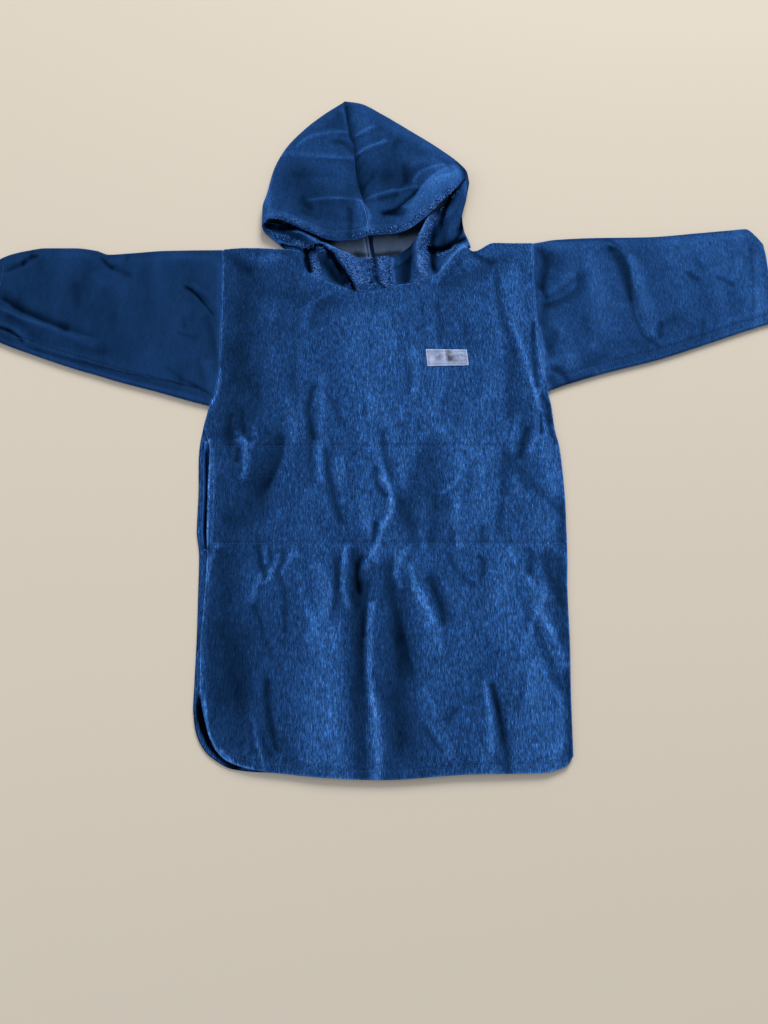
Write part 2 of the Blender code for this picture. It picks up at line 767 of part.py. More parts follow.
def sleeve_ring_shares():
    """Steps round a sleeve: across the top, round the lower edge, back along the floor, round the upper edge."""
    top = [("top", t) for t in np.linspace(0, 1, SLEEVE_TOP_STEPS)]
    lower = [("lower", t) for t in np.linspace(0, 1, SLEEVE_RIM_STEPS + 1)[1:-1]]
    floor = [("floor", t) for t in np.linspace(0, 1, SLEEVE_FLOOR_STEPS)]
    upper = [("upper", t) for t in np.linspace(0, 1, SLEEVE_RIM_STEPS + 1)[1:-1]]
    return top + lower + floor + upper


def sleeve_top_height(rows, folds, x, y, start_distance, end_distance):
    height = SLEEVE_TOP + relief(folds, x, y)
    upper = by_x(rows, "upper", x) - RIM
    lower = by_x(rows, "lower", x) + RIM
    height = CUFF_TOP + (height - CUFF_TOP) * ease(end_distance / CUFF_FALL)
    height += CUFF_HEM_RISE * ease((CUFF_HEM - end_distance) / CUFF_HEM_STEP)
    height = ARMHOLE_TOP + (height - ARMHOLE_TOP) * ease(start_distance / ARMHOLE_FALL)
    height = SLEEVE_EDGE_TOP + (height - SLEEVE_EDGE_TOP) * ease((upper - y) / SLEEVE_EDGE_FALL)
    height = SLEEVE_EDGE_TOP + (height - SLEEVE_EDGE_TOP) * ease((y - lower) / SLEEVE_EDGE_FALL)
    return settle(height, SLEEVE_LOWEST_TOP)


def sleeve_rings(rows, folds, side_name, stations):
    """Rings of a flattened tube, from the armhole seam out to the cuff."""
    outward = np.sign(rows[-1].x)
    cuff_x = rows[-1].x
    rings = []
    for share in stations:
        ring = []
        for part, t in sleeve_ring_shares():
            across = {"top": t, "lower": 1.0, "floor": 1 - t, "upper": 0.0}[part]
            turn = {"lower": np.pi * t, "upper": np.pi * (1 - t)}.get(part, 0.0)
            away = RIM * np.sin(turn) * (1 if part == "upper" else -1)
            x = cuff_x
            for _ in range(3):
                upper = by_x(rows, "upper", x) - RIM
                lower = by_x(rows, "lower", x) + RIM
                y = upper + (lower - upper) * across + away
                armhole = side(side_name, y) + outward * SEAM_GAP
                x = armhole + (cuff_x - armhole) * share
            start, end = abs(x - armhole), abs(cuff_x - x)
            height = sleeve_top_height(rows, folds, np.array(x), np.array(y - away), start, end)
            if part == "floor":
                height = 0.0
            elif part != "top":
                height = height / 2 * (1 + np.cos(turn))
            ring.append((x, y, height))
        rings.append(ring)
    return np.array(rings, float)


def make_sleeve(name, rows, folds, side_name, material):
    rings = sleeve_rings(rows, folds, side_name, np.linspace(0, 1, SLEEVE_STATIONS))
    stations, steps = rings.shape[:2]
    numbers = np.arange(stations * steps).reshape(stations, steps)
    faces = grid_faces(np.column_stack([numbers, numbers[:, 0]]))
    if rows[-1].x < 0:
        faces = [tuple(reversed(face)) for face in faces]
    hold = np.zeros((stations, steps, 2), bool)
    hold[[0, -1], :, 0] = True
    return make_cloth(name, rings.reshape(-1, 3), faces, WALL, hold.reshape(-1, 2), material)


# Hood


def hood_fold(above, below):
    """The fold at a half's side: its outermost line, the height of the layer above it, and the way inwards."""
    upper = line_through(above, ("x", "y", "top"), np.linspace(0, 1, HOOD_ROWS_ABOVE_MOUTH + 1))
    lower = line_through(below, ("x", "y", "top"), np.linspace(0, 1, HOOD_ROWS_BELOW_MOUTH + 1))[1:]
    fold = np.vstack([upper, lower])
    way = np.gradient(fold[:, :2], axis=0)
    way /= np.linalg.norm(way, axis=1, keepdims=True)
    turned_in = np.sign(NECK_CENTRE - fold[len(fold) // 2, 0])
    inward = np.stack([-way[:, 1], way[:, 0]], axis=1) * turned_in
    inward[0] = (0, -1)
    inward[-1] = (turned_in, 0)
    inward[-2] = inward[-2] + inward[-1]
    inward /= np.linalg.norm(inward, axis=1, keepdims=True)
    return fold, inward


def hood_arc(fold, inward, steps):
    """The cloth that turns round the fold, from the floor layer up to the layer on top."""
    turn = np.linspace(-np.pi / 2, np.pi / 2, steps + 1)
    half = fold[:, 2] / 2
    reach = np.minimum(half, HOOD_RIM)
    inset = reach[:, None] * (1 - np.cos(turn))[None]
    plan = fold[:, None, :2] + inward[:, None, :] * inset[..., None]
    height = half[:, None] * (1 + np.sin(turn))[None]
    return np.concatenate([plan, height[..., None]], axis=-1)


def brim_line(brim, start, end, columns):
    """The brim's free edge, moved so that it starts and ends on its neighbours."""
    share = np.linspace(0, 1, columns + 1)
    line = line_through(brim, ("x", "y", "top"), share)
    line += np.outer(1 - share, start - line[0]) + np.outer(share, end - line[-1])
    return line


def hood_top(arc_end, seam, brim):
    """The layer on top, from the fold to the centre seam and from the peak to the brim."""
    peak = np.repeat(arc_end[:1], len(brim), axis=0)
    surface = coons(peak, brim, arc_end, seam)
    s = np.linspace(0, 1, surface.shape[0])[:, None]
    t = np.linspace(0, 1, surface.shape[1])[None, :]
    surface[..., 2] += HOOD_CROWN * np.sqrt(np.sin(np.pi * s) * np.sin(np.pi * t))
    surface[..., 2] += relief(HOOD_FOLDS, surface[..., 0], surface[..., 1]) * ease(t / FOLD_RISE)
    surface[..., 2] = settle(surface[..., 2], HOOD_LOWEST_TOP)
    surface[:, 0] = arc_end
    return surface


def hood_cheek(arc_end, mouth, neck):
    """The cheek, from the free edge of the face opening down to the neck seam."""
    neck = np.vstack([arc_end[-1], neck])
    share = np.concatenate([[0], np.cumsum(np.hypot(*np.diff(neck[:, :2], axis=0).T))])
    share /= share[-1]
    along_mouth = share**MOUTH_LEAD
    edge = line_through(mouth, ("x", "y", "top"), along_mouth)
    edge += np.outer(1 - share, arc_end[0] - edge[0]) * ease(1 - share / CHEEK_CORNER)[:, None]
    edge[-1, 0] = neck[-1, 0]
    crest, band = line_through(mouth, ("crest", "band"), along_mouth).T
    up = 1 - np.linspace(0, 1, len(arc_end))[:, None]
    front_end = neck[-1] + up * (edge[-1] - neck[-1])
    surface = coons(edge, neck, arc_end, front_end)
    height = CHEEK_TOP + (neck[:, 2] - CHEEK_TOP) * (1 - ease(up / NECK_SEAM_FALL))
    height = height + (crest - CHEEK_TOP) * ease((up - band) / BAND_RISE)
    height = height - (crest - edge[:, 2]) * ease((up - BAND_CREST) / (1 - BAND_CREST))
    height = height + relief(CHEEK_FOLDS, surface[..., 0], surface[..., 1]) * ease(up / NECK_SEAM_RISE)
    height = surface[..., 2] + (height - surface[..., 2]) * ease(share / CHEEK_SIDE_RISE)
    surface[..., 2] = settle(height, HOOD_LOWEST_TOP)
    surface[:, 0] = arc_end
    surface[-1] = neck
    return surface


Half = namedtuple("Half", "fold_above fold_below brim cheek_edge neck_side")
RIGHT_HALF = Half(RIGHT_FOLD_ABOVE_MOUTH, RIGHT_FOLD_BELOW_MOUTH, RIGHT_BRIM, RIGHT_CHEEK_EDGE, NECK_SIDE_RIGHT)
LEFT_HALF = Half(LEFT_FOLD_ABOVE_MOUTH, LEFT_FOLD_BELOW_MOUTH, LEFT_BRIM, LEFT_CHEEK_EDGE, NECK_SIDE_LEFT)


def hood_half(half, neck_front):
    """The outer face of one half of the hood, as its parts' grids."""
    aside = np.sign(half.neck_side - NECK_CENTRE) * SEAM_GAP / 2
    fold, inward = hood_fold(half.fold_above, half.fold_below)
    fold[0, 0] += aside
    arc = hood_arc(fold, inward, HOOD_ARC_STEPS)
    mouth_row = HOOD_ROWS_ABOVE_MOUTH
    seam = line_through(HOOD_SEAM, ("x", "y", "top"), np.linspace(0, 1, mouth_row + 1))
    seam[:, 0] += aside
    seam[0] = arc[0, -1]
    edge = brim_line(half.brim, arc[mouth_row, -1], seam[-1], HOOD_TOP_COLUMNS)
    top = hood_top(arc[: mouth_row + 1, -1], seam, edge)
    cheek = hood_cheek(arc[mouth_row:, -1], half.cheek_edge, neck_front)
    neck = back_neck(np.linspace(1, 0, HOOD_FLOOR_COLUMNS + 1), half.neck_side)
    neck = np.column_stack([neck[:, 0], neck[:, 1] + SEAM_GAP, np.zeros(len(neck))])
    neck[0, 0] += aside
    neck[-1] = arc[-1, 0]
    down = np.linspace(0, 1, len(arc))[:, None]
    centre = arc[0, 0] + down * (neck[0] - arc[0, 0])
    peak = np.repeat(arc[:1, 0], len(neck), axis=0)
    floor = coons(peak, neck, centre, arc[:, 0])
    return floor, arc, top, cheek


def make_hood_half(name, parts, mirrored, material):
    floor, arc, top, cheek = parts
    rows = floor.shape[0]
    rows_above = top.shape[0] - 1
    wrapped = np.concatenate([floor, arc[:, 1:]], axis=1)
    points = [wrapped.reshape(-1, 3), top.reshape(-1, 3), cheek.reshape(-1, 3)]
    first_top = wrapped.shape[0] * wrapped.shape[1]
    first_cheek = first_top + top.shape[0] * top.shape[1]
    numbers = np.arange(first_top).reshape(wrapped.shape[:2])
    top_numbers = first_top + np.arange(top.shape[0] * top.shape[1]).reshape(top.shape[:2])
    cheek_numbers = first_cheek + np.arange(cheek.shape[0] * cheek.shape[1]).reshape(cheek.shape[:2])
    faces = grid_faces(numbers) + grid_faces(top_numbers) + grid_faces(cheek_numbers)
    if not mirrored:
        faces = [tuple(reversed(face)) for face in faces]
    points = np.vstack(points)
    hold = np.zeros((len(points), 2), bool)
    flat = floor.shape[1]
    hold[numbers[0, :], 0] = True
    hold[numbers[0, :flat], :] = True
    hold[numbers[:, 0], :] = True
    hold[numbers[-1, :flat], :] = True
    hold[numbers[-1, flat:], 1] = True
    hold[top_numbers[:, -1], :] = True
    hold[top_numbers[-1, 1:], :] = True
    hold[cheek_numbers[[0, -1], 1:], :] = True
    hold[cheek_numbers[:, -1], :] = True
    return make_cloth(name, points, faces, WALL, hold, material)


def neck_row(top_edge, numbers, toward_centre):
    """The front neckline's points and those halfway between, moved off the seam, from the neck's side inwards."""
    way = np.gradient(top_edge[:, :2], axis=0)
    way /= np.linalg.norm(way, axis=1, keepdims=True)
    moved = top_edge.copy()
    moved[:, 0] -= way[:, 1] * SEAM_GAP
    moved[:, 1] += way[:, 0] * SEAM_GAP
    moved = moved[numbers] if toward_centre else moved[numbers][::-1]
    row = np.empty((2 * len(moved) - 1, 3))
    row[::2] = moved
    row[1::2] = (moved[:-1] + moved[1:]) / 2
    row[-1, 0] += SEAM_GAP / 2 * (-1 if toward_centre else 1)
    return row


def main():
    clear_scene()
    towelling = cloth_material("towelling_blue", TOWELLING_BLUE, TOWELLING_ROUGHNESS)
    pocket_cloth = cloth_material("pocket_blue", POCKET_BLUE, TOWELLING_ROUGHNESS)
    label_cloth = cloth_material("label_grey", LABEL_GREY, LABEL_ROUGHNESS)
    make_back(towelling)
    make_front(towelling)
    make_pocket(pocket_cloth)
    make_panel("label", label_surface(LABEL_COLUMNS, LABEL_ROWS), LABEL_WALL, label_cloth)
    make_sleeve("sleeve_right", RIGHT_SLEEVE, RIGHT_SLEEVE_FOLDS, "front_left", towelling)
    make_sleeve("sleeve_left", LEFT_SLEEVE, LEFT_SLEEVE_FOLDS, "right", towelling)
    shares = np.linspace(0, 1, BODY_COLUMNS)
    top_edge = front_surface(shares, np.array([3.0]))[0]
    right_numbers, left_numbers = neck_numbers(shares)
    right_parts = hood_half(RIGHT_HALF, neck_row(top_edge, right_numbers, True))
    left_parts = hood_half(LEFT_HALF, neck_row(top_edge, left_numbers, False))
    make_hood_half("hood_right", right_parts, False, towelling)
    make_hood_half("hood_left", left_parts, True, towelling)


main()
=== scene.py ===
"""The looks of the hooded bath poncho: fine cloth over its solids, with creases, nap, loops and sewing.

X runs from the wearer's right sleeve to the left one, Y from the hem to the hood, and Z up from the surface
that the poncho lies on. Every size is in millimetres, and becomes metres where a mesh is made.

The main sizes, outlines and folds repeat those of the solids. Finer folds, hems, seams and nap are added.
"""

from collections import namedtuple

import bpy
import numpy as np
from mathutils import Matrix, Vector
from mathutils.bvhtree import BVHTree


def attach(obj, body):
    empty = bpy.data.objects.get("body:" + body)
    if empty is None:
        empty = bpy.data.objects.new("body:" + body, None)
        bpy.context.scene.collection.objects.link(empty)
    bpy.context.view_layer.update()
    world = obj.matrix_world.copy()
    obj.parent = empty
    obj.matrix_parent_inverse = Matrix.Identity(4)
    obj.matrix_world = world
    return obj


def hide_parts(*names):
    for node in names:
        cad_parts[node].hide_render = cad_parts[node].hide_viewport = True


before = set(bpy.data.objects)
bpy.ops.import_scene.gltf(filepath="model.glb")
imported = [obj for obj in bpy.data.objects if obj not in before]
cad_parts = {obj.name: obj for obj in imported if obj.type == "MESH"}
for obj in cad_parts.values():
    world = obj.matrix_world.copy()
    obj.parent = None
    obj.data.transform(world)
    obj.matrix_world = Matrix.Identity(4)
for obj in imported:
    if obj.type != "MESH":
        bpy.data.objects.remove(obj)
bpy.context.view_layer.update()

MM = 0.001

# Cloth walls and the room between neighbours
WALL = 2.2
POCKET_WALL = 1.2
LABEL_WALL = 0.9
SEAM_GAP = 0.1
LAYER_GAP = 0.3

# Heights of the front panel's upper face
LOWEST_TOP = WALL + LAYER_GAP + WALL
POCKET_LOWEST_TOP = WALL + POCKET_WALL + 2 * LAYER_GAP + WALL
MIDDLE_TOP = 9.0
ARMHOLE_TOP = 6.0
ARMHOLE_FROM_Y = 150.0
ARMHOLE_RISE = 30.0

# Widths over which the front settles down to its edges
SIDE_FALL = 26.0
TOP_FALL = 24.0
HEM_FALL = 22.0

# The pocket bag, sewn across the front along two lines
POCKET_LOW = -41.0
POCKET_HIGH = 82.0
POCKET_ALLOWANCE = 8.0
POCKET_RISE = 8.0
POCKET_EDGE_TOP = 7.6
POCKET_LEFT_INSET = 6.0
POCKET_RIGHT_INSET = 15.0
POCKET_RIGHT_ROOM = 14.0

# Sleeves
RIM = 2.9
SLEEVE_EDGE_TOP = 5.8
SLEEVE_TOP = 8.5
SLEEVE_LOWEST_TOP = 5.2
CUFF_TOP = 6.6
CUFF_FALL = 30.0
CUFF_HEM = 17.0
CUFF_HEM_RISE = 0.9
CUFF_HEM_STEP = 3.0
ARMHOLE_FALL = 22.0
SLEEVE_EDGE_FALL = 16.0

# Hood
HOOD_LOWEST_TOP = 5.0
HOOD_RIM = 6.0
HOOD_CROWN = 5.0
CHEEK_TOP = 5.6

# Shares of the way across a piece of the hood: where a rise ends, and where a hem band's crest is
FOLD_RISE = 0.2
PEAK_RISE = 0.06
BAND_RISE = 0.16
BAND_CREST = 0.86
NECK_SEAM_FALL = 0.22
NECK_SEAM_RISE = 0.15
CHEEK_SIDE_RISE = 0.18
MOUTH_LEAD = 0.6

# Label
LABEL_LEFT = 57.5
LABEL_RIGHT = 109.8
LABEL_LOW = 189.0
LABEL_HIGH = 213.0
LABEL_TURN = 1.7
LABEL_RISE = 1.8


def table(kind, rows):
    """Rows of numbers, with the column names of their kind."""
    return [kind(*row) for row in rows]


# Outlines: the body's side lines, then its edges with the height of the cloth's upper face there
Side = namedtuple("Side", "y back_left front_left right")
SIDES = table(Side, (
    (-320, -209, -200, 210), (-215, -210, -203, 213), (-154, -211, -206, 216), (-100, -213, -205, 217),
    (-54, -215, -205, 220), (-23, -220, -207, 221), (21, -221, -209, 222), (77, -224, -210, 220),
    (109, -221, -219, 215), (137, -215, -215, 213), (155, -208, -208, 210), (190, -205, -205, 204),
    (230, -206, -206, 201), (286, -208, -208, 200), (320, -209, -209, 200), (376, -211, -211, 202),
))

Edge = namedtuple("Edge", "x y top")
FRONT_HEM = table(Edge, (
    (-200, -215, 5), (-195, -236, 5), (-189, -257, 5), (-180, -274, 6), (-166, -286, 6), (-141, -294, 6),
    (-102, -299, 6), (-58, -303, 7), (0, -305, 7), (103, -299, 7), (175, -298, 6), (202, -291, 5),
    (210, -280, 5),
))
BACK_HEM = table(Edge, (
    (-209.5, -224, 2), (-205, -252, 2), (-197, -270, 2), (-187, -281, 2), (-162, -294, 2),
    (-136, -297, 2), (-100, -298, 2), (0, -303, 2), (103, -297, 2), (175, -296, 2), (202, -289, 2),
    (210, -278, 2),
))
FRONT_TOP = table(Edge, (
    (-211, 364, 5), (-182, 367, 5), (-128, 365, 5), (-109, 362, 6), (-101, 333, 8), (-91, 323, 8),
    (-71, 313, 8), (-49, 305, 7), (-33, 299, 7), (-15, 299, 7), (19, 309, 7), (42, 312, 8), (68, 320, 10),
    (85, 334, 13), (103, 357, 14), (113, 366, 10), (123, 362, 5), (151, 375, 5), (203, 374, 5),
))
BACK_NECK = table(Edge, (
    (-128, 365, 2), (-82, 356, 2), (-20, 351, 2), (52, 354, 2), (117, 363.5, 2),
))

NECK_SIDE_RIGHT = -128.0
NECK_SIDE_LEFT = 117.0
NECK_CENTRE = -16.0
NECK_SIDE_ROOM = 5.0

# Y at which the front's columns are spaced evenly, below and above
HEM_Y = -320.0
SHOULDER_Y = 370.0

Sleeve = namedtuple("Sleeve", "x upper lower")
RIGHT_SLEEVE = table(Sleeve, (
    (-205, 364, 136), (-217, 364, 138.5), (-285, 363, 158), (-335, 359, 172), (-363, 357, 181),
    (-380, 363, 186), (-410, 367, 196), (-448, 367, 210), (-472, 363, 219), (-496, 356, 229),
    (-516, 344, 237),
))
LEFT_SLEEVE = table(Sleeve, (
    (198, 374, 155), (206, 375, 157), (233, 380, 167), (287, 383, 184), (353, 384, 202), (431, 391, 229),
    (470, 395, 243), (491, 397, 250), (503, 385, 254), (511, 372, 257),
))

Rim = namedtuple("Rim", "x y top")
APEX = Rim(-52, 611, 5.6)
RIGHT_FOLD_ABOVE_MOUTH = table(Rim, (
    APEX, (-83, 586, 6.5), (-109, 560, 7.5), (-134, 526, 9), (-149, 490, 10), (-156, 452, 12),
    (-161, 428, 14), (-160.5, 398, 15),
))
RIGHT_FOLD_BELOW_MOUTH = table(Rim, (
    (-160.5, 398, 15), (-157.5, 391, 13.5), (-150, 384, 11), (-141, 376, 8), (-131, 368, 5.6),
))
LEFT_FOLD_ABOVE_MOUTH = table(Rim, (
    APEX, (-31, 607, 6), (2, 586, 8), (37, 560, 9), (82, 524, 12), (109, 496, 16), (118, 481, 18),
    (120, 465, 20),
))
LEFT_FOLD_BELOW_MOUTH = table(Rim, (
    (120, 465, 20), (115, 439, 18), (109, 411, 15), (111, 393, 12), (117, 377, 9), (120, 368.5, 6.5),
))
HOOD_SEAM = table(Rim, (
    APEX, (-48, 562, 10), (-39, 523, 13), (-36, 482, 16), (-30, 448, 18), (-23, 424, 20), (-18, 400, 21),
    (-15, 375, 22),
))
RIGHT_BRIM = table(Rim, (
    (-151, 397, 14), (-147, 402, 16), (-139, 403, 17), (-130, 400, 17), (-111, 391, 16), (-88, 380, 15),
    (-72, 372, 16), (-54, 369, 17.5), (-36, 369, 20), (-15, 373, 22),
))
LEFT_BRIM = table(Rim, (
    (111, 457, 20), (100, 443, 27), (76, 414, 31), (56, 394, 29), (34, 379, 26), (15, 375, 24),
    (-15, 375, 22),
))

# The cheeks' free edges: how high the edge and the hem band's crest stand, and where between the neck
# seam (0) and the edge (1) the band starts to rise
Mouth = namedtuple("Mouth", "x y top crest band")
RIGHT_CHEEK_EDGE = table(Mouth, (
    (-151, 393, 13, 15, 0.30), (-141, 390, 10, 15, 0.45), (-125, 392, 11, 15, 0.56),
    (-109, 388, 12, 15, 0.60), (-88, 379, 12, 16, 0.64), (-71, 371, 12, 16, 0.55),
    (-53, 360, 9, 16, 0.32), (-44, 355, 8, 15, 0.12), (-32, 351, 7, 13, 0.02), (-16, 351, 6, 12, 0.00),
))
LEFT_CHEEK_EDGE = table(Mouth, (
    (107, 447, 20, 20, 0.30), (92, 432, 18, 19, 0.40), (76, 417, 15, 19, 0.50), (63, 408, 13, 18, 0.55),
    (49, 383, 10, 14, 0.60), (41, 371, 9, 12, 0.60), (29, 360, 8, 10, 0.55), (20, 354, 7, 9, 0.50),
    (5, 352, 6, 8, 0.40), (-16, 351, 6, 8, 0.20),
))

# A fold's line runs through three places. Its side to the left of that line is as wide as `left`, and so on.
Fold = namedtuple("Fold", "x0 y0 x1 y1 x2 y2 left right height")
BODY_FOLDS = table(Fold, (
    (-201, 360, -191, 344, -176, 329, 12, 12, -3),
    (-177, 344, -178, 228, -175, 111, 30, 30, -4),
    (-105, 243, -104, 172, -94, 104, 15, 18, 3),
    (-88, 161, -86, 124, -82, 88, 8, 10, -4),
    (-19, 147, -9, 107, 4, 70, 12, 12, -3),
    (162, 300, 173, 224, 194, 147, 14, 10, 7),
    (150, 324, 153, 257, 171, 183, 12, 9, -3),
    (202, 180, 194, 142, 201, 96, 9, 9, 6),
    (199, 147, 185, 96, 168, 65, 12, 12, -4),
    (206, 144, 210, 104, 219, 67, 9, 9, 3),
    (-170, 98, -164, 67, -167, 26, 12, 14, 6),
    (-136, 85, -144, 26, -158, -37, 22, 26, -4),
    (-69, 85, -62, 34, -46, -22, 10, 10, -3),
    (-6, 56, 11, 13, -5, -50, 11, 11, 6),
    (48, 81, 37, 13, 30, -49, 26, 24, -4),
    (90, 26, 89, -12, 91, -56, 12, 12, 3),
    (143, 85, 142, 20, 141, -46, 14, 10, -3),
    (-127, -80, -110, -56, -92, -41, 10, 10, 3),
    (-45, -40, -42, -79, -39, -126, 10, 10, 5),
    (-33, -36, -27, -68, -25, -106, 10, 10, -4),
    (9, -28, -11, -61, -18, -110, 11, 11, 4),
    (-18, -84, -11, -199, -3, -322, 12, 12, 8),
    (-35, -107, -32, -210, -27, -317, 18, 16, -3),
    (20, -61, 25, -176, 21, -317, 22, 30, -4),
    (22, -60, 46, -113, 74, -157, 12, 12, 4),
    (53, -70, 68, -108, 82, -143, 14, 12, -4),
    (160, -46, 186, -94, 176, -132, 12, 10, 4),
    (174, -120, 195, -154, 213, -190, 11, 11, 4),
    (193, -63, 205, -108, 212, -155, 16, 14, -3),
    (124, -210, 136, -253, 145, -310, 10, 10, -5),
    (115, -200, 120, -244, 124, -312, 10, 10, 4),
    (40, -200, 55, -240, 70, -272, 10, 10, -3),
    (-180, -80, -173, -165, -163, -240, 26, 24, -3),
    (-129, -192, -123, -233, -113, -280, 10, 10, -4),
    (-70, -90, -59, -210, -50, -322, 30, 26, 3),
    (104, -60, 96, -188, 95, -312, 34, 34, 3),
))
RIGHT_SLEEVE_FOLDS = table(Fold, (
    (-262, 309, -234, 287, -212, 262, 9, 9, -3),
    (-500, 290, -448, 262, -360, 229, 12, 10, -4),
    (-500, 272, -440, 250, -355, 220, 12, 12, 3),
    (-446, 356, -473, 340, -500, 325, 10, 10, -3),
    (-378, 356, -362, 338, -345, 327, 12, 12, -3),
    (-380, 335, -350, 272, -335, 211, 20, 20, -2.5),
    (-436, 350, -411, 287, -370, 238, 28, 26, 2.5),
    (-295, 345, -288, 270, -300, 190, 24, 24, 2),
))
LEFT_SLEEVE_FOLDS = table(Fold, (
    (208, 368, 223, 344, 206, 307, 14, 14, -4),
    (210, 290, 235, 309, 260, 333, 12, 12, 4),
    (205, 262, 228, 296, 265, 318, 14, 14, -4),
    (231, 260, 226, 228, 217, 198, 14, 14, 4),
    (301, 382, 324, 302, 350, 215, 11, 13, -5),
    (318, 388, 341, 309, 362, 230, 16, 20, 4),
    (205, 182, 226, 184, 238, 162, 12, 12, -4),
    (420, 290, 385, 250, 360, 215, 20, 20, -3),
    (424, 360, 434, 309, 440, 262, 30, 30, 2.5),
    (277, 350, 275, 287, 275, 215, 26, 26, 2.5),
))
HOOD_FOLDS = table(Fold, (
    (-120, 522, -85, 546, -44, 548, 9, 9, 2.5),
    (-92, 504, -64, 501, -32, 499, 9, 9, 2.5),
    (-114, 434, -69, 435, -20, 434, 9, 9, 2.5),
    (-130, 479, -77, 470, -36, 463, 22, 22, -3),
    (-110, 418, -68, 403, -30, 400, 16, 16, -2.5),
    (-44, 540, -16, 548, 3, 560, 9, 9, 2.5),
    (-44, 498, -16, 514, 18, 524, 11, 11, 3),
    (-26, 425, 12, 439, 54, 445, 11, 11, 3),
    (-30, 479, 0, 469, 40, 469, 22, 22, -3),
    (33, 392, 60, 440, 112, 478, 12, 30, 9),
    (14, 414, 38, 464, 96, 499, 15, 15, -5),
))
CHEEK_FOLDS = table(Fold, (
    (-104, 366, -98, 344, -89, 324, 6, 6, -3),
    (-91, 361, -85, 335, -78, 309, 8, 8, 2.5),
    (-84, 352, -64, 330, -42, 300, 9, 9, -3),
    (80, 424, 51, 366, 58, 298, 12, 10, 14),
    (30, 356, 30, 332, 32, 304, 12, 12, -3),
    (6, 355, 9, 329, 10, 301, 12, 12, 3.5),
    (60, 352, 85, 366, 113, 380, 11, 11, -5),
    (89, 436, 81, 399, 71, 362, 10, 10, -4),
    (106, 446, 99, 403, 90, 368, 11, 11, 4),
))

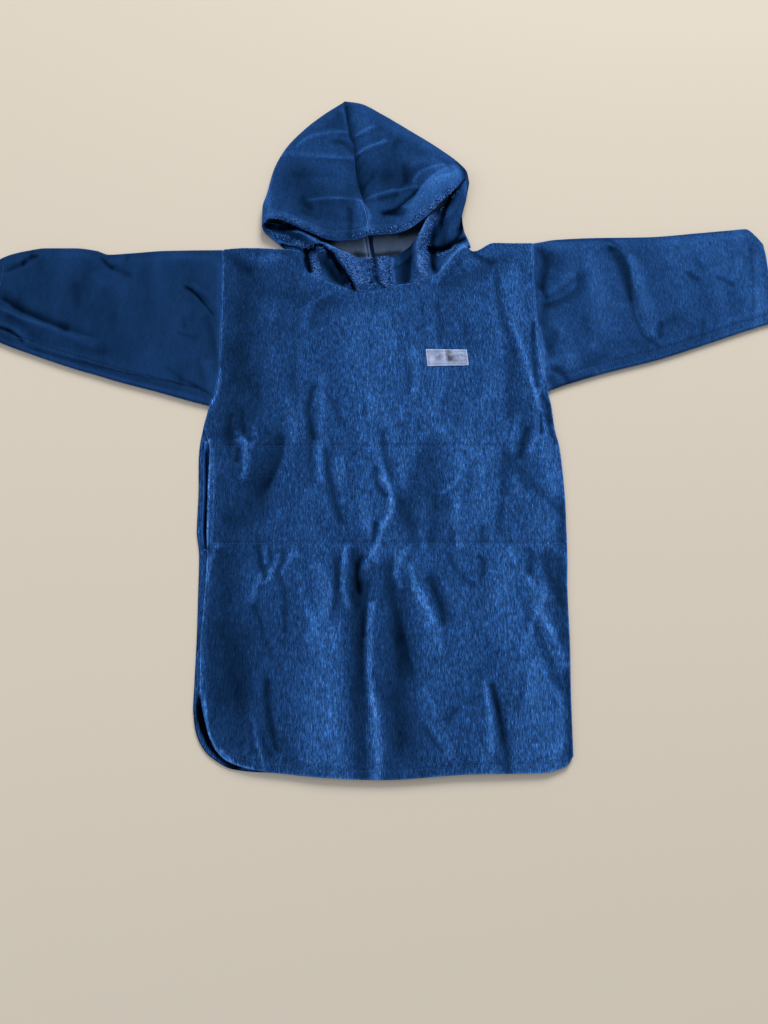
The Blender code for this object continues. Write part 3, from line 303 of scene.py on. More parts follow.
# Painted light and shade along the folds: a curved line of lighter cloth (painted highlight on lit ridges)
# and darker cloth (painted shade in creases and hollows), partly also nap that lies another way; also a low
# ridge or crease
Tone = namedtuple("Tone", "x0 y0 x1 y1 x2 y2 left right amount")
BODY_TONES = table(Tone, (
    (200, -115, 201, -137, 199, -160, 9, 7, -0.14),
    (41, 91, 42, 70, 42, 45, 12, 12, 0.07),
    (-182, -215, -179, -242, -174, -268, 9, 9, -0.07),
    (-138, 360, -119, 354, -104, 339, 8, 6.5, -0.16),
    (-156, 299, -80, 285, -12, 285, 11.5, 13, -0.12),
    (-197, -219, -192, -245, -182, -273, 1.5, 1.5, 0.5),
    (-182, -273, -167, -286, -140, -293, 1.5, 1.5, 0.45),
    (-185, 344, -186, 228, -182, 104, 48.5, 46, -0.2),
    (-140, 320, -106, 293, -117, 243, 23.5, 31.5, -0.1),
    (-179, 7, -179, -73, -169, -210, 49, 40, -0.21),
    (-153, -210, -147, -237, -130, -268, 31, 31, -0.08),
    (-76, -125, -71, -176, -64, -284, 16, 16, 0.09),
    (-22, -75, -23, -154, -3, -220, 16, 16, -0.11),
    (20, -160, 27, -210, 32, -268, 20, 18, -0.15),
    (189, -120, 174, -199, 165, -290, 38, 29, 0.18),
    (140, -61, 138, -102, 144, -133, 21, 21, 0.14),
    (166, 299, 150, 172, 126, 13, 35.5, 40.5, 0.13),
    (64, 183, 63, 131, 87, 78, 32.5, 32.5, 0.11),
    (9, 249, 4, 200, -4, 131, 23, 23, 0.1),
    (201, 16, 192, -18, 176, -42, 26, 24, 0.13),
    (-7, 41, -11, 13, -15, -12, 17, 17, 0.09),
    (28, 7, 42, -14, 65, -36, 16.5, 14.5, -0.07),
    (-181, 344, -179, 294, -171, 243, 21, 18.5, -0.15),
    (-207, 361, -193, 344, -175, 332, 5.5, 5.5, -0.25),
    (-211, 344, -207, 272, -204, 203, 3, 2.5, 0.16),
    (-205, 186, -206, 164, -211, 142, 4, 4, 0.28),
    (-190, 214, -183, 165, -187, 104, 22.5, 15, -0.2),
    (-163, 168, -154, 144, -163, 125, 10, 12.5, -0.12),
    (-187, 124, -188, 104, -185, 83, 3.5, 5, -0.16),
    (-173, 125, -170, 107, -162, 89, 3.5, 3.5, -0.2),
    (-172, 350, -158, 344, -145, 353, 10.5, 10.5, 0.2),
    (-102, 243, -95, 275, -70, 293, 4, 4, 0.12),
    (-60, 287, -77, 275, -84, 252, 10.5, 8, -0.1),
    (-109, 214, -110, 183, -105, 153, 3, 5, -0.13),
    (-84, 161, -90, 131, -83, 93, 3.5, 5, -0.36),
    (-77, 175, -74, 144, -75, 93, 4, 2.5, 0.12),
    (-71, 161, -57, 131, -45, 109, 3.5, 3.5, -0.14),
    (-25, 287, -21, 200, -14, 101, 28, 23, 0.08),
    (-15, 147, -11, 134, -13, 117, 3.5, 3.5, 0.22),
    (-21, 138, -19, 120, -15, 104, 3, 3, -0.12),
    (-122, 147, -112, 123, -108, 88, 6, 6, 0.08),
    (-178, 101, -171, 93, -160, 83, 3.5, 3.5, 0.24),
    (-157, 107, -155, 93, -157, 83, 3.5, 3.5, 0.14),
    (123, 360, 132, 349, 145, 341, 4.5, 4.5, -0.36),
    (160, 344, 128, 326, 85, 309, 12, 9, -0.16),
    (69, 312, 88, 341, 108, 363, 5.5, 5.5, 0.14),
    (151, 323, 155, 269, 169, 208, 5, 3, -0.15),
    (171, 329, 175, 294, 181, 257, 10.5, 10.5, 0.09),
    (166, 249, 180, 211, 188, 172, 4, 3, 0.19),
    (188, 172, 191, 158, 195, 144, 3, 3, 0.24),
    (161, 214, 163, 165, 158, 123, 10, 7.5, -0.18),
    (176, 139, 178, 125, 175, 112, 6, 6, -0.14),
    (197, 252, 194, 217, 196, 164, 3, 3, -0.36),
    (205, 234, 205, 189, 197, 150, 2.5, 2.5, 0.18),
    (195, 147, 199, 124, 205, 96, 2, 2, 0.26),
    (195, 139, 193, 112, 182, 75, 3.5, 3, 0.2),
    (198, 128, 198, 112, 197, 99, 2, 2, -0.4),
    (203, 150, 209, 134, 211, 117, 2.5, 3.5, -0.36),
    (206, 124, 211, 101, 215, 87, 2.5, 2.5, -0.26),
    (180, 104, 175, 88, 170, 68, 4.5, 4.5, -0.42),
    (172, 120, 165, 104, 161, 88, 2.5, 2.5, 0.14),
    (147, 107, 155, 91, 160, 75, 2.5, 2.5, 0.1),
    (202, 91, 206, 58, 211, 21, 11, 12, 0.2),
    (43, 214, 45, 179, 41, 154, 4.5, 4.5, 0.16),
    (34, 189, 35, 172, 34, 155, 4, 4, -0.13),
    (71, 282, 75, 257, 75, 224, 2.5, 2.5, -0.13),
    (51, 287, 52, 265, 50, 240, 5, 5, -0.08),
    (107, 250, 110, 234, 112, 218, 3, 3, -0.13),
    (80, 151, 77, 131, 75, 109, 3.5, 3.5, -0.1),
    (122, 180, 123, 165, 121, 150, 5, 5, -0.08),
    (2, 99, 6, 65, 13, 40, 3.5, 3.5, -0.2),
    (-212, 91, -208, 39, -205, -42, 1.5, 1.5, 0.6),
    (-206, 78, -202, 26, -200, -42, 1.5, 1.5, 0.22),
    (-174, 89, -165, 70, -167, 40, 5, 4.5, 0.32),
    (-174, 78, -175, 70, -176, 63, 2.5, 3, -0.26),
    (-121, 91, -124, 62, -138, 31, 2.5, 7.5, -0.2),
    (-121, 91, -124, 62, -139, 28, 3, 30.5, -0.2),
    (-144, 26, -155, 3, -168, -14, 14.5, 17, -0.22),
    (-66, 75, -60, 28, -46, -15, 3.5, 5, -0.22),
    (-77, 84, -75, 65, -75, 40, 5, 4.5, 0.2),
    (-85, 83, -86, 65, -81, 37, 3.5, 6, -0.14),
    (-60, 93, -59, 80, -60, 67, 3, 3, -0.15),
    (-50, 65, -50, 46, -48, 26, 5, 5, 0.08),
    (-22, 10, -18, -12, -12, -31, 5, 5, 0.18),
    (-7, -17, -7, -27, -9, -38, 3, 3, -0.36),
    (-1, 39, 13, 10, 2, -22, 3.5, 4, 0.45),
    (2, -22, -5, -42, -6, -63, 3.5, 3.5, 0.3),
    (-7, 52, -4, 31, 6, 17, 3, 3, -0.26),
    (-11, 83, -1, 62, 4, 40, 3.5, 3.5, 0.15),
    (26, 71, 27, 45, 28, 15, 5, 6, 0.16),
    (62, 75, 56, 45, 67, 6, 14.5, 16, -0.21),
    (23, 13, 27, -8, 38, -35, 15.5, 5, -0.24),
    (36, 41, 43, 28, 52, 20, 9.5, 9.5, -0.09),
    (64, 13, 62, -14, 57, -44, 5, 5, -0.12),
    (92, 70, 95, 44, 73, 21, 2, 2, 0.22),
    (89, 10, 89, -14, 92, -44, 6, 5, 0.18),
    (105, 71, 108, 49, 106, 25, 5, 5, -0.1),
    (120, -22, 120, -29, 120, -38, 3, 3, -0.2),
    (126, 52, 126, 20, 126, -12, 12, 12, 0.06),
    (149, 75, 148, 49, 146, 22, 8.5, 3, -0.21),
    (143, 8, 141, -8, 138, -25, 5, 3.5, -0.17),
    (160, 62, 178, 34, 212, 4, 11, 7.5, -0.18),
    (160, 43, 164, 34, 163, 22, 3, 3, 0.13),
    (215, 16, 218, -12, 213, -39, 5, 6, -0.15),
    (46, -23, 49, -33, 52, -45, 3.5, 3.5, 0.15),
    (87, -27, 86, -34, 85, -42, 3, 3.5, -0.15),
    (-192, -42, -200, -58, -204, -84, 3.5, 3.5, 0.3),
    (-206, -56, -207, -108, -203, -210, 6, 4.5, 0.22),
    (-187, -61, -187, -143, -186, -212, 23, 11.5, -0.18),
    (-160, -154, -159, -220, -163, -268, 20, 22.5, -0.14),
    (-156, -70, -156, -89, -156, -110, 7, 7, 0.08),
    (-139, -79, -145, -92, -148, -109, 3.5, 4.5, 0.22),
    (-126, -68, -129, -80, -133, -89, 3.5, 3.5, 0.2),
    (-145, -46, -141, -63, -135, -81, 3.5, 3.5, -0.36),
    (-131, -47, -129, -58, -127, -70, 2.5, 2.5, -0.26),
    (-137, -47, -136, -57, -136, -68, 2.5, 2.5, 0.2),
    (-99, -53, -109, -64, -116, -76, 3.5, 3.5, 0.3),
    (-114, -51, -115, -63, -118, -76, 3, 3.5, -0.3),
    (-123, -58, -127, -70, -132, -84, 3, 3, 0.15),
    (-118, -82, -110, -110, -110, -145, 3, 3.5, -0.22),
    (-145, -115, -135, -143, -123, -173, 2.5, 3.5, -0.24),
    (-85, -124, -75, -143, -83, -155, 3.5, 4.5, 0.3),
    (-73, -68, -60, -94, -62, -127, 3.5, 10.5, 0.2),
    (-55, -61, -52, -96, -58, -127, 6, 2.5, -0.16),
    (-94, -84, -93, -99, -92, -112, 6, 6, 0.1),
    (-58, -148, -53, -220, -50, -297, 18, 26.5, 0.14),
    (-54, -233, -55, -242, -54, -251, 5.5, 5.5, 0.1),
    (-47, -274, -49, -281, -48, -288, 5.5, 5.5, 0.1),
    (-127, -201, -126, -233, -114, -273, 4, 4.5, -0.3),
    (-141, -242, -135, -265, -127, -293, 3, 3, 0.2),
    (-144, -247, -141, -261, -136, -276, 2, 3.5, -0.13),
    (-129, -263, -126, -272, -120, -280, 3.5, 3.5, -0.2),
    (-106, -266, -99, -279, -91, -291, 5.5, 5.5, -0.15),
    (-20, -90, -20, -199, -15, -302, 2, 14.5, -0.24),
    (-14, -87, -17, -115, -19, -149, 2, 3.5, -0.32),
    (-10, -113, -14, -176, -6, -238, 4.5, 3, 0.3),
    (-8, -220, -3, -263, -3, -302, 5.5, 4.5, 0.3),
    (-23, -58, -28, -77, -25, -99, 3.5, 3.5, -0.46),
    (-5, -47, -13, -58, -19, -68, 3.5, 3.5, 0.2),
    (-41, -45, -44, -90, -37, -116, 3, 3, 0.35),
    (-49, -58, -50, -75, -50, -94, 3.5, 4.5, -0.15),
    (-33, -51, -34, -84, -30, -115, 7, 2.5, -0.2),
    (12, -68, 17, -110, 36, -190, 2.5, 10.5, -0.28),
    (18, -96, 17, -210, 12, -302, 17, 13.5, -0.22),
    (20, -154, 24, -182, 24, -210, 5.5, 5.5, -0.08),
    (27, -53, 18, -70, 22, -92, 4.5, 3.5, 0.25),
    (35, -70, 37, -82, 38, -96, 2.5, 2.5, 0.25),
    (57, -87, 66, -108, 74, -135, 2.5, 7, -0.1),
    (56, -84, 66, -107, 71, -132, 6, 3.5, -0.26),
    (48, -101, 59, -131, 68, -161, 3.5, 11.5, 0.28),
    (58, -154, 60, -182, 55, -210, 11.5, 11.5, 0.05),
    (48, -212, 62, -242, 75, -276, 4.5, 10, 0.14),
    (48, -251, 56, -261, 65, -273, 3.5, 3.5, -0.26),
    (20, -220, 27, -253, 43, -300, 13, 11, -0.08),
    (74, -245, 77, -239, 82, -232, 3, 3, -0.2),
    (116, -203, 121, -240, 121, -272, 3, 4.5, 0.26),
    (120, -272, 113, -286, 110, -299, 4.5, 4.5, 0.14),
    (125, -206, 133, -251, 138, -298, 3.5, 4, -0.38),
    (125, -278, 128, -284, 132, -289, 2, 2, -0.2),
    (116, -58, 120, -68, 118, -80, 3, 3, -0.26),
    (80, -55, 90, -75, 107, -92, 3, 3.5, -0.2),
    (134, -107, 141, -94, 149, -83, 6, 6, 0.15),
    (151, -50, 164, -76, 188, -106, 4.5, 4.5, 0.2),
    (174, -50, 176, -63, 173, -75, 4, 4.5, -0.28),
    (193, -58, 196, -84, 208, -113, 11.5, 4.5, -0.25),
    (187, -105, 175, -131, 161, -168, 3, 4, 0.24),
    (180, -120, 196, -149, 208, -183, 4.5, 3, 0.26),
    (176, -133, 188, -168, 201, -205, 3, 8, -0.22),
    (189, -113, 194, -120, 199, -128, 4.5, 4.5, -0.12),
    (166, -113, 168, -122, 169, -132, 4.5, 4.5, -0.15),
    (211, -61, 213, -120, 211, -174, 3.5, 9, -0.2),
    (211, -188, 210, -237, 208, -282, 3.5, 6.5, -0.25),
    (197, -210, 200, -247, 190, -290, 5.5, 6.5, 0.18),
    (191, -214, 192, -220, 193, -228, 2.5, 2.5, -0.15),
    (170, -185, 171, -203, 167, -223, 6.5, 6.5, 0.12),
    (159, -195, 157, -212, 151, -228, 3.5, 3.5, -0.12),
    (106, -194, 106, -210, 104, -225, 8, 8, -0.08),
    (141, -154, 144, -171, 148, -190, 5.5, 5.5, 0.1),
    (-197, -215, -195, -251, -174, -276, 2, 2, 0.42),
    (-174, -276, -159, -288, -140, -296, 2, 2, 0.4),
))
RIGHT_SLEEVE_TONES = table(Tone, (
    (-536, 287, -471, 284, -379, 279, 52, 52, -0.06),
    (-492, 288, -455, 266, -407, 243, 9, 2.5, -0.12),
    (-496, 276, -451, 253, -370, 220, 2.5, 3, 0.08),
    (-481, 262, -460, 247, -441, 234, 5, 5, -0.06),
    (-497, 247, -476, 240, -459, 226, 2, 2, -0.22),
    (-498, 254, -476, 246, -453, 228, 2, 2.5, 0.06),
    (-474, 341, -469, 349, -459, 353, 3, 3, -0.11),
    (-493, 330, -483, 336, -472, 344, 2.5, 4, -0.07),
    (-466, 366, -465, 358, -465, 349, 2.5, 2.5, -0.06),
    (-371, 350, -365, 343, -356, 335, 2.5, 2.5, -0.12),
    (-366, 353, -358, 353, -349, 355, 2, 2, -0.06),
    (-338, 355, -337, 349, -338, 343, 2, 2, -0.06),
    (-353, 335, -343, 329, -331, 323, 4, 4, -0.08),
    (-377, 323, -370, 315, -358, 308, 6.5, 4, 0.05),
    (-362, 293, -363, 272, -362, 243, 10.5, 10.5, -0.04),
    (-451, 231, -408, 220, -354, 211, 7.5, 6.5, -0.06),
    (-255, 305, -238, 291, -217, 265, 1.5, 2, -0.14),
    (-248, 309, -232, 296, -212, 274, 3.5, 2.5, 0.05),
    (-259, 237, -249, 233, -236, 230, 2.5, 2.5, -0.05),
    (-256, 260, -255, 254, -253, 247, 3, 3, -0.06),
    (-224, 260, -216, 234, -208, 206, 2.5, 6.5, -0.08),
    (-270, 187, -263, 182, -254, 175, 3, 3, -0.05),
    (-252, 172, -230, 162, -209, 149, 2, 2.5, -0.1),
    (-456, 220, -356, 190, -230, 161, 1.5, 1.5, -0.1),
    (-448, 211, -355, 180, -227, 147, 3, 3, 0.1),
    (-220, 194, -215, 175, -210, 154, 6.5, 6.5, 0.13),
    (-292, 206, -288, 200, -283, 192, 9, 9, 0.05),
    (-215, 344, -211, 272, -207, 200, 2.5, 2.5, 0.11),
    (-268, 355, -247, 350, -224, 344, 9.5, 9.5, 0.05),
))
LEFT_SLEEVE_TONES = table(Tone, (
    (424, 360, 464, 309, 479, 257, 34, 34, 0.11),
    (226, 344, 232, 344, 239, 341, 13.5, 13.5, -0.07),
    (213, 360, 218, 338, 211, 309, 5.5, 8, -0.44),
    (228, 353, 230, 338, 226, 317, 9.5, 5.5, -0.11),
    (211, 305, 213, 297, 216, 290, 3.5, 4, -0.32),
    (221, 288, 235, 303, 254, 321, 4, 2, 0.09),
    (259, 321, 251, 297, 218, 281, 9, 2.5, -0.21),
    (212, 278, 208, 246, 215, 211, 9, 4, -0.32),
    (222, 237, 223, 227, 217, 217, 4, 5, -0.22),
    (220, 186, 229, 180, 236, 171, 4, 4, -0.35),
    (216, 175, 218, 166, 221, 160, 4.5, 4, -0.26),
    (225, 165, 244, 171, 266, 179, 3, 2.5, -0.16),
    (299, 378, 308, 375, 317, 364, 2.5, 2.5, -0.23),
    (306, 366, 323, 341, 326, 288, 2, 9.5, -0.4),
    (326, 290, 330, 254, 343, 224, 2.5, 4, -0.21),
    (329, 347, 334, 293, 343, 240, 10.5, 2, 0.11),
    (345, 228, 348, 224, 353, 218, 3.5, 3.5, -0.25),
    (361, 250, 360, 243, 358, 233, 3.5, 4, -0.26),
    (381, 259, 373, 254, 362, 247, 4, 4, -0.13),
    (396, 252, 398, 243, 396, 231, 5, 5, -0.11),
    (414, 253, 413, 244, 412, 233, 3.5, 3.5, -0.19),
    (324, 224, 333, 216, 345, 211, 6.5, 6.5, -0.12),
    (284, 208, 273, 199, 257, 190, 6.5, 6.5, -0.13),
    (406, 324, 408, 320, 414, 315, 3.5, 3.5, -0.23),
    (443, 318, 450, 314, 460, 308, 3.5, 3.5, -0.19),
    (475, 344, 470, 332, 463, 321, 4, 4, 0.09),
    (261, 257, 263, 250, 265, 241, 4.5, 4.5, -0.14),
    (251, 278, 251, 271, 251, 263, 3, 3, -0.07),
    (414, 344, 419, 338, 426, 332, 5.5, 5.5, -0.07),
    (364, 355, 385, 344, 408, 335, 10.5, 10.5, 0.04),
    (277, 350, 283, 329, 286, 299, 10.5, 10.5, 0.05),
    (270, 220, 274, 214, 279, 208, 5.5, 5.5, 0.12),
    (240, 203, 246, 194, 252, 186, 6.5, 6.5, 0.09),
    (288, 284, 296, 279, 305, 276, 6.5, 6.5, 0.05),
    (497, 344, 494, 309, 486, 257, 8, 8, 0.14),
    (491, 363, 487, 309, 478, 254, 2, 2, -0.11),
    (223, 377, 347, 383, 462, 392, 1.5, 2, -0.12),
    (206, 246, 206, 207, 200, 150, 3.5, 3.5, 0.25),
    (316, 223, 279, 211, 245, 180, 15.5, 7.5, -0.04),
    (450, 302, 459, 287, 459, 272, 8, 8, -0.05),
))
# Painted light and shade on the hood's top layer: its lit brim band, and the shaded sides of its folds
HOOD_TONES = table(Tone, (
    (53, 469, 79, 453, 104, 447, 9.5, 11, 0.1),
    (90, 431, 92, 412, 91, 390, 5.5, 5.5, -0.2),
    (19, 476, 45, 487, 72, 486, 11, 12.5, 0.11),
    (63, 437, 85, 453, 104, 466, 6.5, 8, 0.12),
    (-150, 496, -154, 466, -154, 434, 7, 7, 0.1),
    (-116, 473, -88, 440, -53, 434, 29.5, 29.5, -0.12),
    (-55, 558, -46, 519, -43, 489, 16.5, 14, -0.12),
    (4, 529, 15, 482, 17, 399, 17.5, 17.5, -0.14),
    (34, 532, 42, 519, 53, 506, 12.5, 12.5, -0.08),
    (82, 469, 65, 426, 31, 383, 12, 12, 0.16),
    (90, 426, 86, 405, 86, 383, 6.5, 6.5, -0.3),
    (110, 479, 112, 458, 111, 437, 5.5, 5.5, -0.25),
    (-152, 479, -153, 442, -151, 408, 4, 4, 0.14),
    (-59, 579, -70, 563, -84, 551, 10, 8.5, -0.13),
    (-116, 524, -91, 543, -49, 549, 3, 3.5, 0.17),
    (-66, 531, -53, 529, -39, 514, 4, 4, -0.2),
    (-135, 511, -91, 506, -44, 501, 8, 2.5, 0.1),
    (-111, 473, -101, 450, -101, 423, 19, 20.5, -0.15),
    (-105, 434, -101, 426, -94, 421, 5.5, 5.5, -0.14),
    (-106, 415, -95, 408, -85, 404, 4, 4, -0.1),
    (-96, 434, -62, 434, -27, 429, 2.5, 3, 0.17),
    (-77, 424, -66, 408, -68, 386, 12, 12, -0.07),
    (-41, 416, -40, 396, -41, 376, 2.5, 5.5, -0.15),
    (-29, 426, -27, 405, -23, 383, 4, 6.5, 0.14),
    (-149, 410, -119, 402, -79, 379, 6.5, 3.5, 0.15),
    (-54, 591, -49, 570, -46, 553, 1.5, 4, 0.12),
    (-51, 596, -44, 549, -36, 501, 7, 1.5, -0.22),
    (-36, 502, -33, 463, -25, 429, 8, 1.5, -0.3),
    (-26, 429, -18, 407, -19, 383, 2, 2.5, 0.3),
    (-133, 450, -120, 440, -109, 434, 11, 11, -0.06),
    (-57, 491, -48, 479, -43, 463, 7, 11, 0.06),
    (-38, 538, -26, 548, -13, 555, 3, 3.5, 0.15),
    (-35, 567, -26, 560, -19, 543, 11, 10, 0.07),
    (-2, 539, 4, 532, -1, 521, 5.5, 4, 0.1),
    (-36, 501, -21, 516, 6, 527, 4, 1.5, 0.2),
    (-26, 471, 5, 466, 38, 469, 21.5, 20.5, -0.18),
    (-13, 469, -18, 460, -28, 450, 4.5, 4.5, -0.1),
    (31, 481, 33, 463, 37, 445, 5.5, 8, -0.18),
    (22, 527, 20, 522, 19, 517, 5.5, 5.5, -0.14),
    (-2, 556, -1, 549, -1, 541, 5.5, 7, -0.08),
    (-22, 429, 9, 442, 47, 445, 2, 2.5, 0.17),
    (-3, 429, 9, 432, 20, 437, 3, 3, -0.16),
    (4, 408, 24, 415, 49, 437, 4, 6, -0.55),
    (14, 408, 22, 405, 30, 407, 4, 4, -0.22),
    (28, 415, 49, 434, 69, 460, 2, 6.5, 0.2),
    (29, 416, 36, 423, 44, 429, 2, 2.5, 0.25),
    (48, 434, 66, 458, 88, 479, 2, 3.5, 0.45),
    (43, 455, 55, 474, 84, 486, 2.5, 3.5, 0.15),
    (38, 412, 71, 437, 104, 473, 11, 13.5, 0.32),
    (38, 380, 75, 417, 109, 450, 3.5, 3.5, 0.3),
    (105, 494, 112, 481, 115, 461, 6, 2.5, -0.62),
    (96, 487, 102, 481, 105, 464, 2.5, 4, 0.2),
    (23, 551, 40, 536, 66, 522, 8.5, 8.5, 0.08),
    (78, 499, 86, 494, 97, 489, 4, 4, -0.08),
    (-18, 412, -15, 396, -15, 382, 6.5, 2.5, 0.1),
    (18, 396, 41, 399, 63, 418, 4, 6.5, 0.1),
))
# Painted shadow in the face opening's hole, notch and hollows, and painted highlight on its rolled edge
MOUTH_TONES = table(Tone, (
    (118, 473, 119, 461, 119, 445, 3.5, 3, -0.6),
    (109, 437, 103, 405, 94, 374, 10.5, 12, -0.24),
    (-151, 398, -136, 398, -121, 395, 6.5, 6.5, -1.8),
    (-121, 396, -100, 388, -76, 375, 2, 3, -1),
    (-79, 375, -63, 371, -47, 372, 4, 5.5, -1.1),
    (-136, 382, -121, 379, -108, 375, 6.5, 5.5, -0.12),
    (-153, 382, -134, 374, -110, 368, 2.5, 4, 0.24),
    (-113, 372, -94, 368, -73, 360, 4, 4, 0.34),
    (-73, 363, -57, 354, -46, 340, 8, 5.5, 0.34),
    (-57, 355, -48, 351, -40, 343, 5.5, 5.5, 0.14),
    (-41, 342, -36, 324, -30, 303, 13, 5.5, 0.34),
    (-133, 371, -119, 368, -101, 363, 2, 2, -0.7),
    (-131, 371, -127, 364, -124, 358, 4, 4, -0.25),
    (-122, 361, -114, 361, -106, 357, 3, 3, 0.14),
    (-98, 367, -99, 349, -95, 330, 3.5, 3.5, -1.3),
    (-87, 355, -86, 340, -87, 321, 5.5, 4, 0.2),
    (-90, 321, -79, 320, -69, 317, 4, 4, 0.04),
    (-95, 363, -79, 362, -64, 348, 2, 3.5, -1),
    (-67, 351, -52, 331, -34, 301, 2, 4.5, -0.8),
    (-64, 344, -58, 329, -49, 311, 2.5, 13, -0.5),
    (-14, 343, -14, 324, -11, 303, 5.5, 6.5, -0.16),
    (-8, 349, -8, 337, -7, 321, 2.5, 2.5, -0.45),
    (-7, 320, -2, 312, 5, 305, 2, 2, -0.6),
    (2, 349, 2, 331, 6, 309, 5.5, 4.5, 0.6),
    (14, 347, 15, 329, 18, 309, 2.5, 2.5, 0.3),
    (10, 343, 11, 328, 11, 312, 1.5, 1.5, -0.3),
    (38, 362, 37, 337, 34, 310, 3, 13, -0.6),
    (69, 408, 51, 378, 48, 338, 10.5, 3, 0.6),
    (57, 397, 55, 366, 57, 330, 6.5, 6.5, 0.2),
    (76, 420, 66, 404, 57, 387, 8, 5.5, 0.34),
    (48, 341, 52, 323, 53, 305, 10.5, 6.5, 0.2),
    (69, 363, 68, 343, 73, 322, 5.5, 3, -0.62),
    (75, 359, 85, 354, 91, 343, 6.5, 6.5, 0.04),
    (83, 358, 89, 361, 99, 366, 2.5, 2.5, 0.2),
    (114, 375, 93, 344, 70, 311, 4, 4, 0.28),
    (66, 367, 86, 367, 109, 377, 3, 4.5, -1.2),
    (109, 407, 107, 392, 101, 373, 2.5, 3, -1),
    (93, 439, 87, 419, 80, 397, 2, 3.5, -0.8),
    (75, 411, 70, 386, 69, 365, 5.5, 6.5, -0.5),
    (87, 402, 84, 386, 82, 368, 5.5, 5.5, -0.35),
    (101, 435, 96, 404, 91, 372, 3, 4, 0.04),
    (113, 405, 114, 392, 113, 380, 3, 3, -0.15),
    (100, 445, 95, 437, 93, 429, 5.5, 5.5, -0.5),
))
# Painted shadow in the vent's slit under the front's raised edge, and at the pocket's mouth
BACK_TONES = table(Tone, (
    (-202, -219, -192, -261, -158, -291, 3.5, 3.5, -1.6),
    (-190, -250, -183, -268, -165, -285, 4.5, 2.5, -1.5),
    (-219, 82, -213, 40, -209, -35, 2, 1.5, -0.8),
))
# Painted shade along the pocket bag's edge where it shows in the pocket's mouth
POCKET_TONES = table(Tone, (
    (-216, 76, -211, 27, -208, -45, 2.5, 2, -1.1),
))

# The hood's inside, which shows through the face opening: painted shade under the brim and behind the neck's
# edge, and painted light towards the neck
INSIDE_TONES = table(Tone, (
    (-90, 380, -48, 388, -10, 391, 8, 6, -0.45),
    (0, 393, 28, 396, 58, 404, 14, 6, -0.62),
    (28, 391, 45, 394, 62, 402, 5, 5, -0.5),
    (-34, 359, -7, 357, 24, 361, 4, 5, -0.62),
    (-60, 374, -16, 374, 34, 380, 12, 10, -0.02),
    (-70, 354, -16, 352, 50, 356, 9, 7, 0.16),
    (-150, 398, -110, 387, -80, 374, 14, 9, -1.0),
))
# How finely each surface is divided: the room between neighbouring points
BODY_STEP = 1.85
SLEEVE_STEP = 1.9
HOOD_STEP = 1.5
HOOD_FLOOR_STEP = 5.0
BACK_STEP = 5.0
POCKET_STEP = 4.0
LABEL_STEP = 0.9
SEAM_STEP = 2.0

# The back's rows and columns lie closer together towards the open corner, where they show
BACK_CROWDING = 1.5

# How softly a height rounds off just over its floor
SOFTNESS = 0.3

# How many steps a fold's or a tone's line is followed in
LINE_STEPS = 33

# Smooth unevenness: how wide its bumps are across X and along Y, and the seed of its random draws
Bumps = namedtuple("Bumps", "across along seed")
NOISE_SIZE = 128
NOISE_START_X = 31.7
NOISE_START_Y = 47.3
NOISE_SLANT = 0.35
NOISE_SLANT_RATE = 1.7

# A crease: how rounded its crest is, as a share of its width, how high it stays, and how it fades to its ends
CREST = 0.14
FOLD_SHARE = 0.65
FOLD_FADE = 0.7
FOLD_END_WIDTH = 0.55

# How far a crease's line wanders
WANDER = 2.2
FINE_WANDER = 0.35 * WANDER
WANDER_ACROSS = Bumps(31, 37, 3)
FINE_WANDER_ACROSS = Bumps(9, 11, 4)
WANDER_ALONG = Bumps(29, 33, 5)

# How far a tone's line wanders, how ragged its sides are, and how many of its widths it reaches
TONE_WANDER = 0.6
TONE_WANDER_ACROSS = Bumps(9, 13, 13)
TONE_WANDER_ALONG = Bumps(8, 14, 15)
TONE_RAGGED = 0.2
TONE_RAGGED_BUMPS = Bumps(6, 11, 17)
TONE_REACH = 2.4

# How strongly a tone shows, and how much more if it is narrow
TONE_SHARE = 1.05
CRISP_SHARE = 0.8
CRISP_WIDTH = 3.5

# The ridge or crease that goes with a tone: its height as a share of its narrow side, and where they stop
# growing
SWELL_SHARE = 0.8
SWELL_WIDTH = 8.0
SWELL_AMOUNT = 0.5

# A painted highlight along every cut or folded edge: how much lighter the cloth's colour is made there
PAINTED_EDGE_HIGHLIGHT = 0.2

# The turned edge of a cloth: points round it, and how deep a hem's or a cuff's underside goes in
EDGE_STEPS = 3
HEM_DEPTH = 14.0
CUFF_DEPTH = 34.0

# How many times directions are averaged with their neighbours'
INWARD_PASSES = 2
OUTWARD_PASSES = 3

# The painted shade and highlight from the cloth's own shape: how wide the surroundings are that a point's
# height is held against, and how strongly it shows
NEAR_PASSES = 20
WIDE_PASSES = 120
NEAR_GAIN = 0.035
WIDE_GAIN = 0.02
LEVEL_SHADE = 0.5
HEIGHT_SHADE = 0.3

# How far below and above its level the painted shade and highlight can take the colour, and from which amount
# down a tone is an unlit gap, painted black
PAINTED_SHADE_DEPTH = 0.42
PAINTED_HIGHLIGHT_LIFT = 0.42
OPENING = -0.65

# Points are at one place if they agree to this many decimals. Shorter vectors have no direction, or no bend.
PLACE_DECIMALS = 4
NO_LENGTH = 1e-12
NO_BEND = 1e-6


# Smooth curves and surfaces


def column(rows, name):
    """One column of a table."""
    return np.array([getattr(row, name) for row in rows], float)


def places(*parts):
    """Places from their X and Y, and Z if it is given."""
    return np.stack(parts, axis=-1)


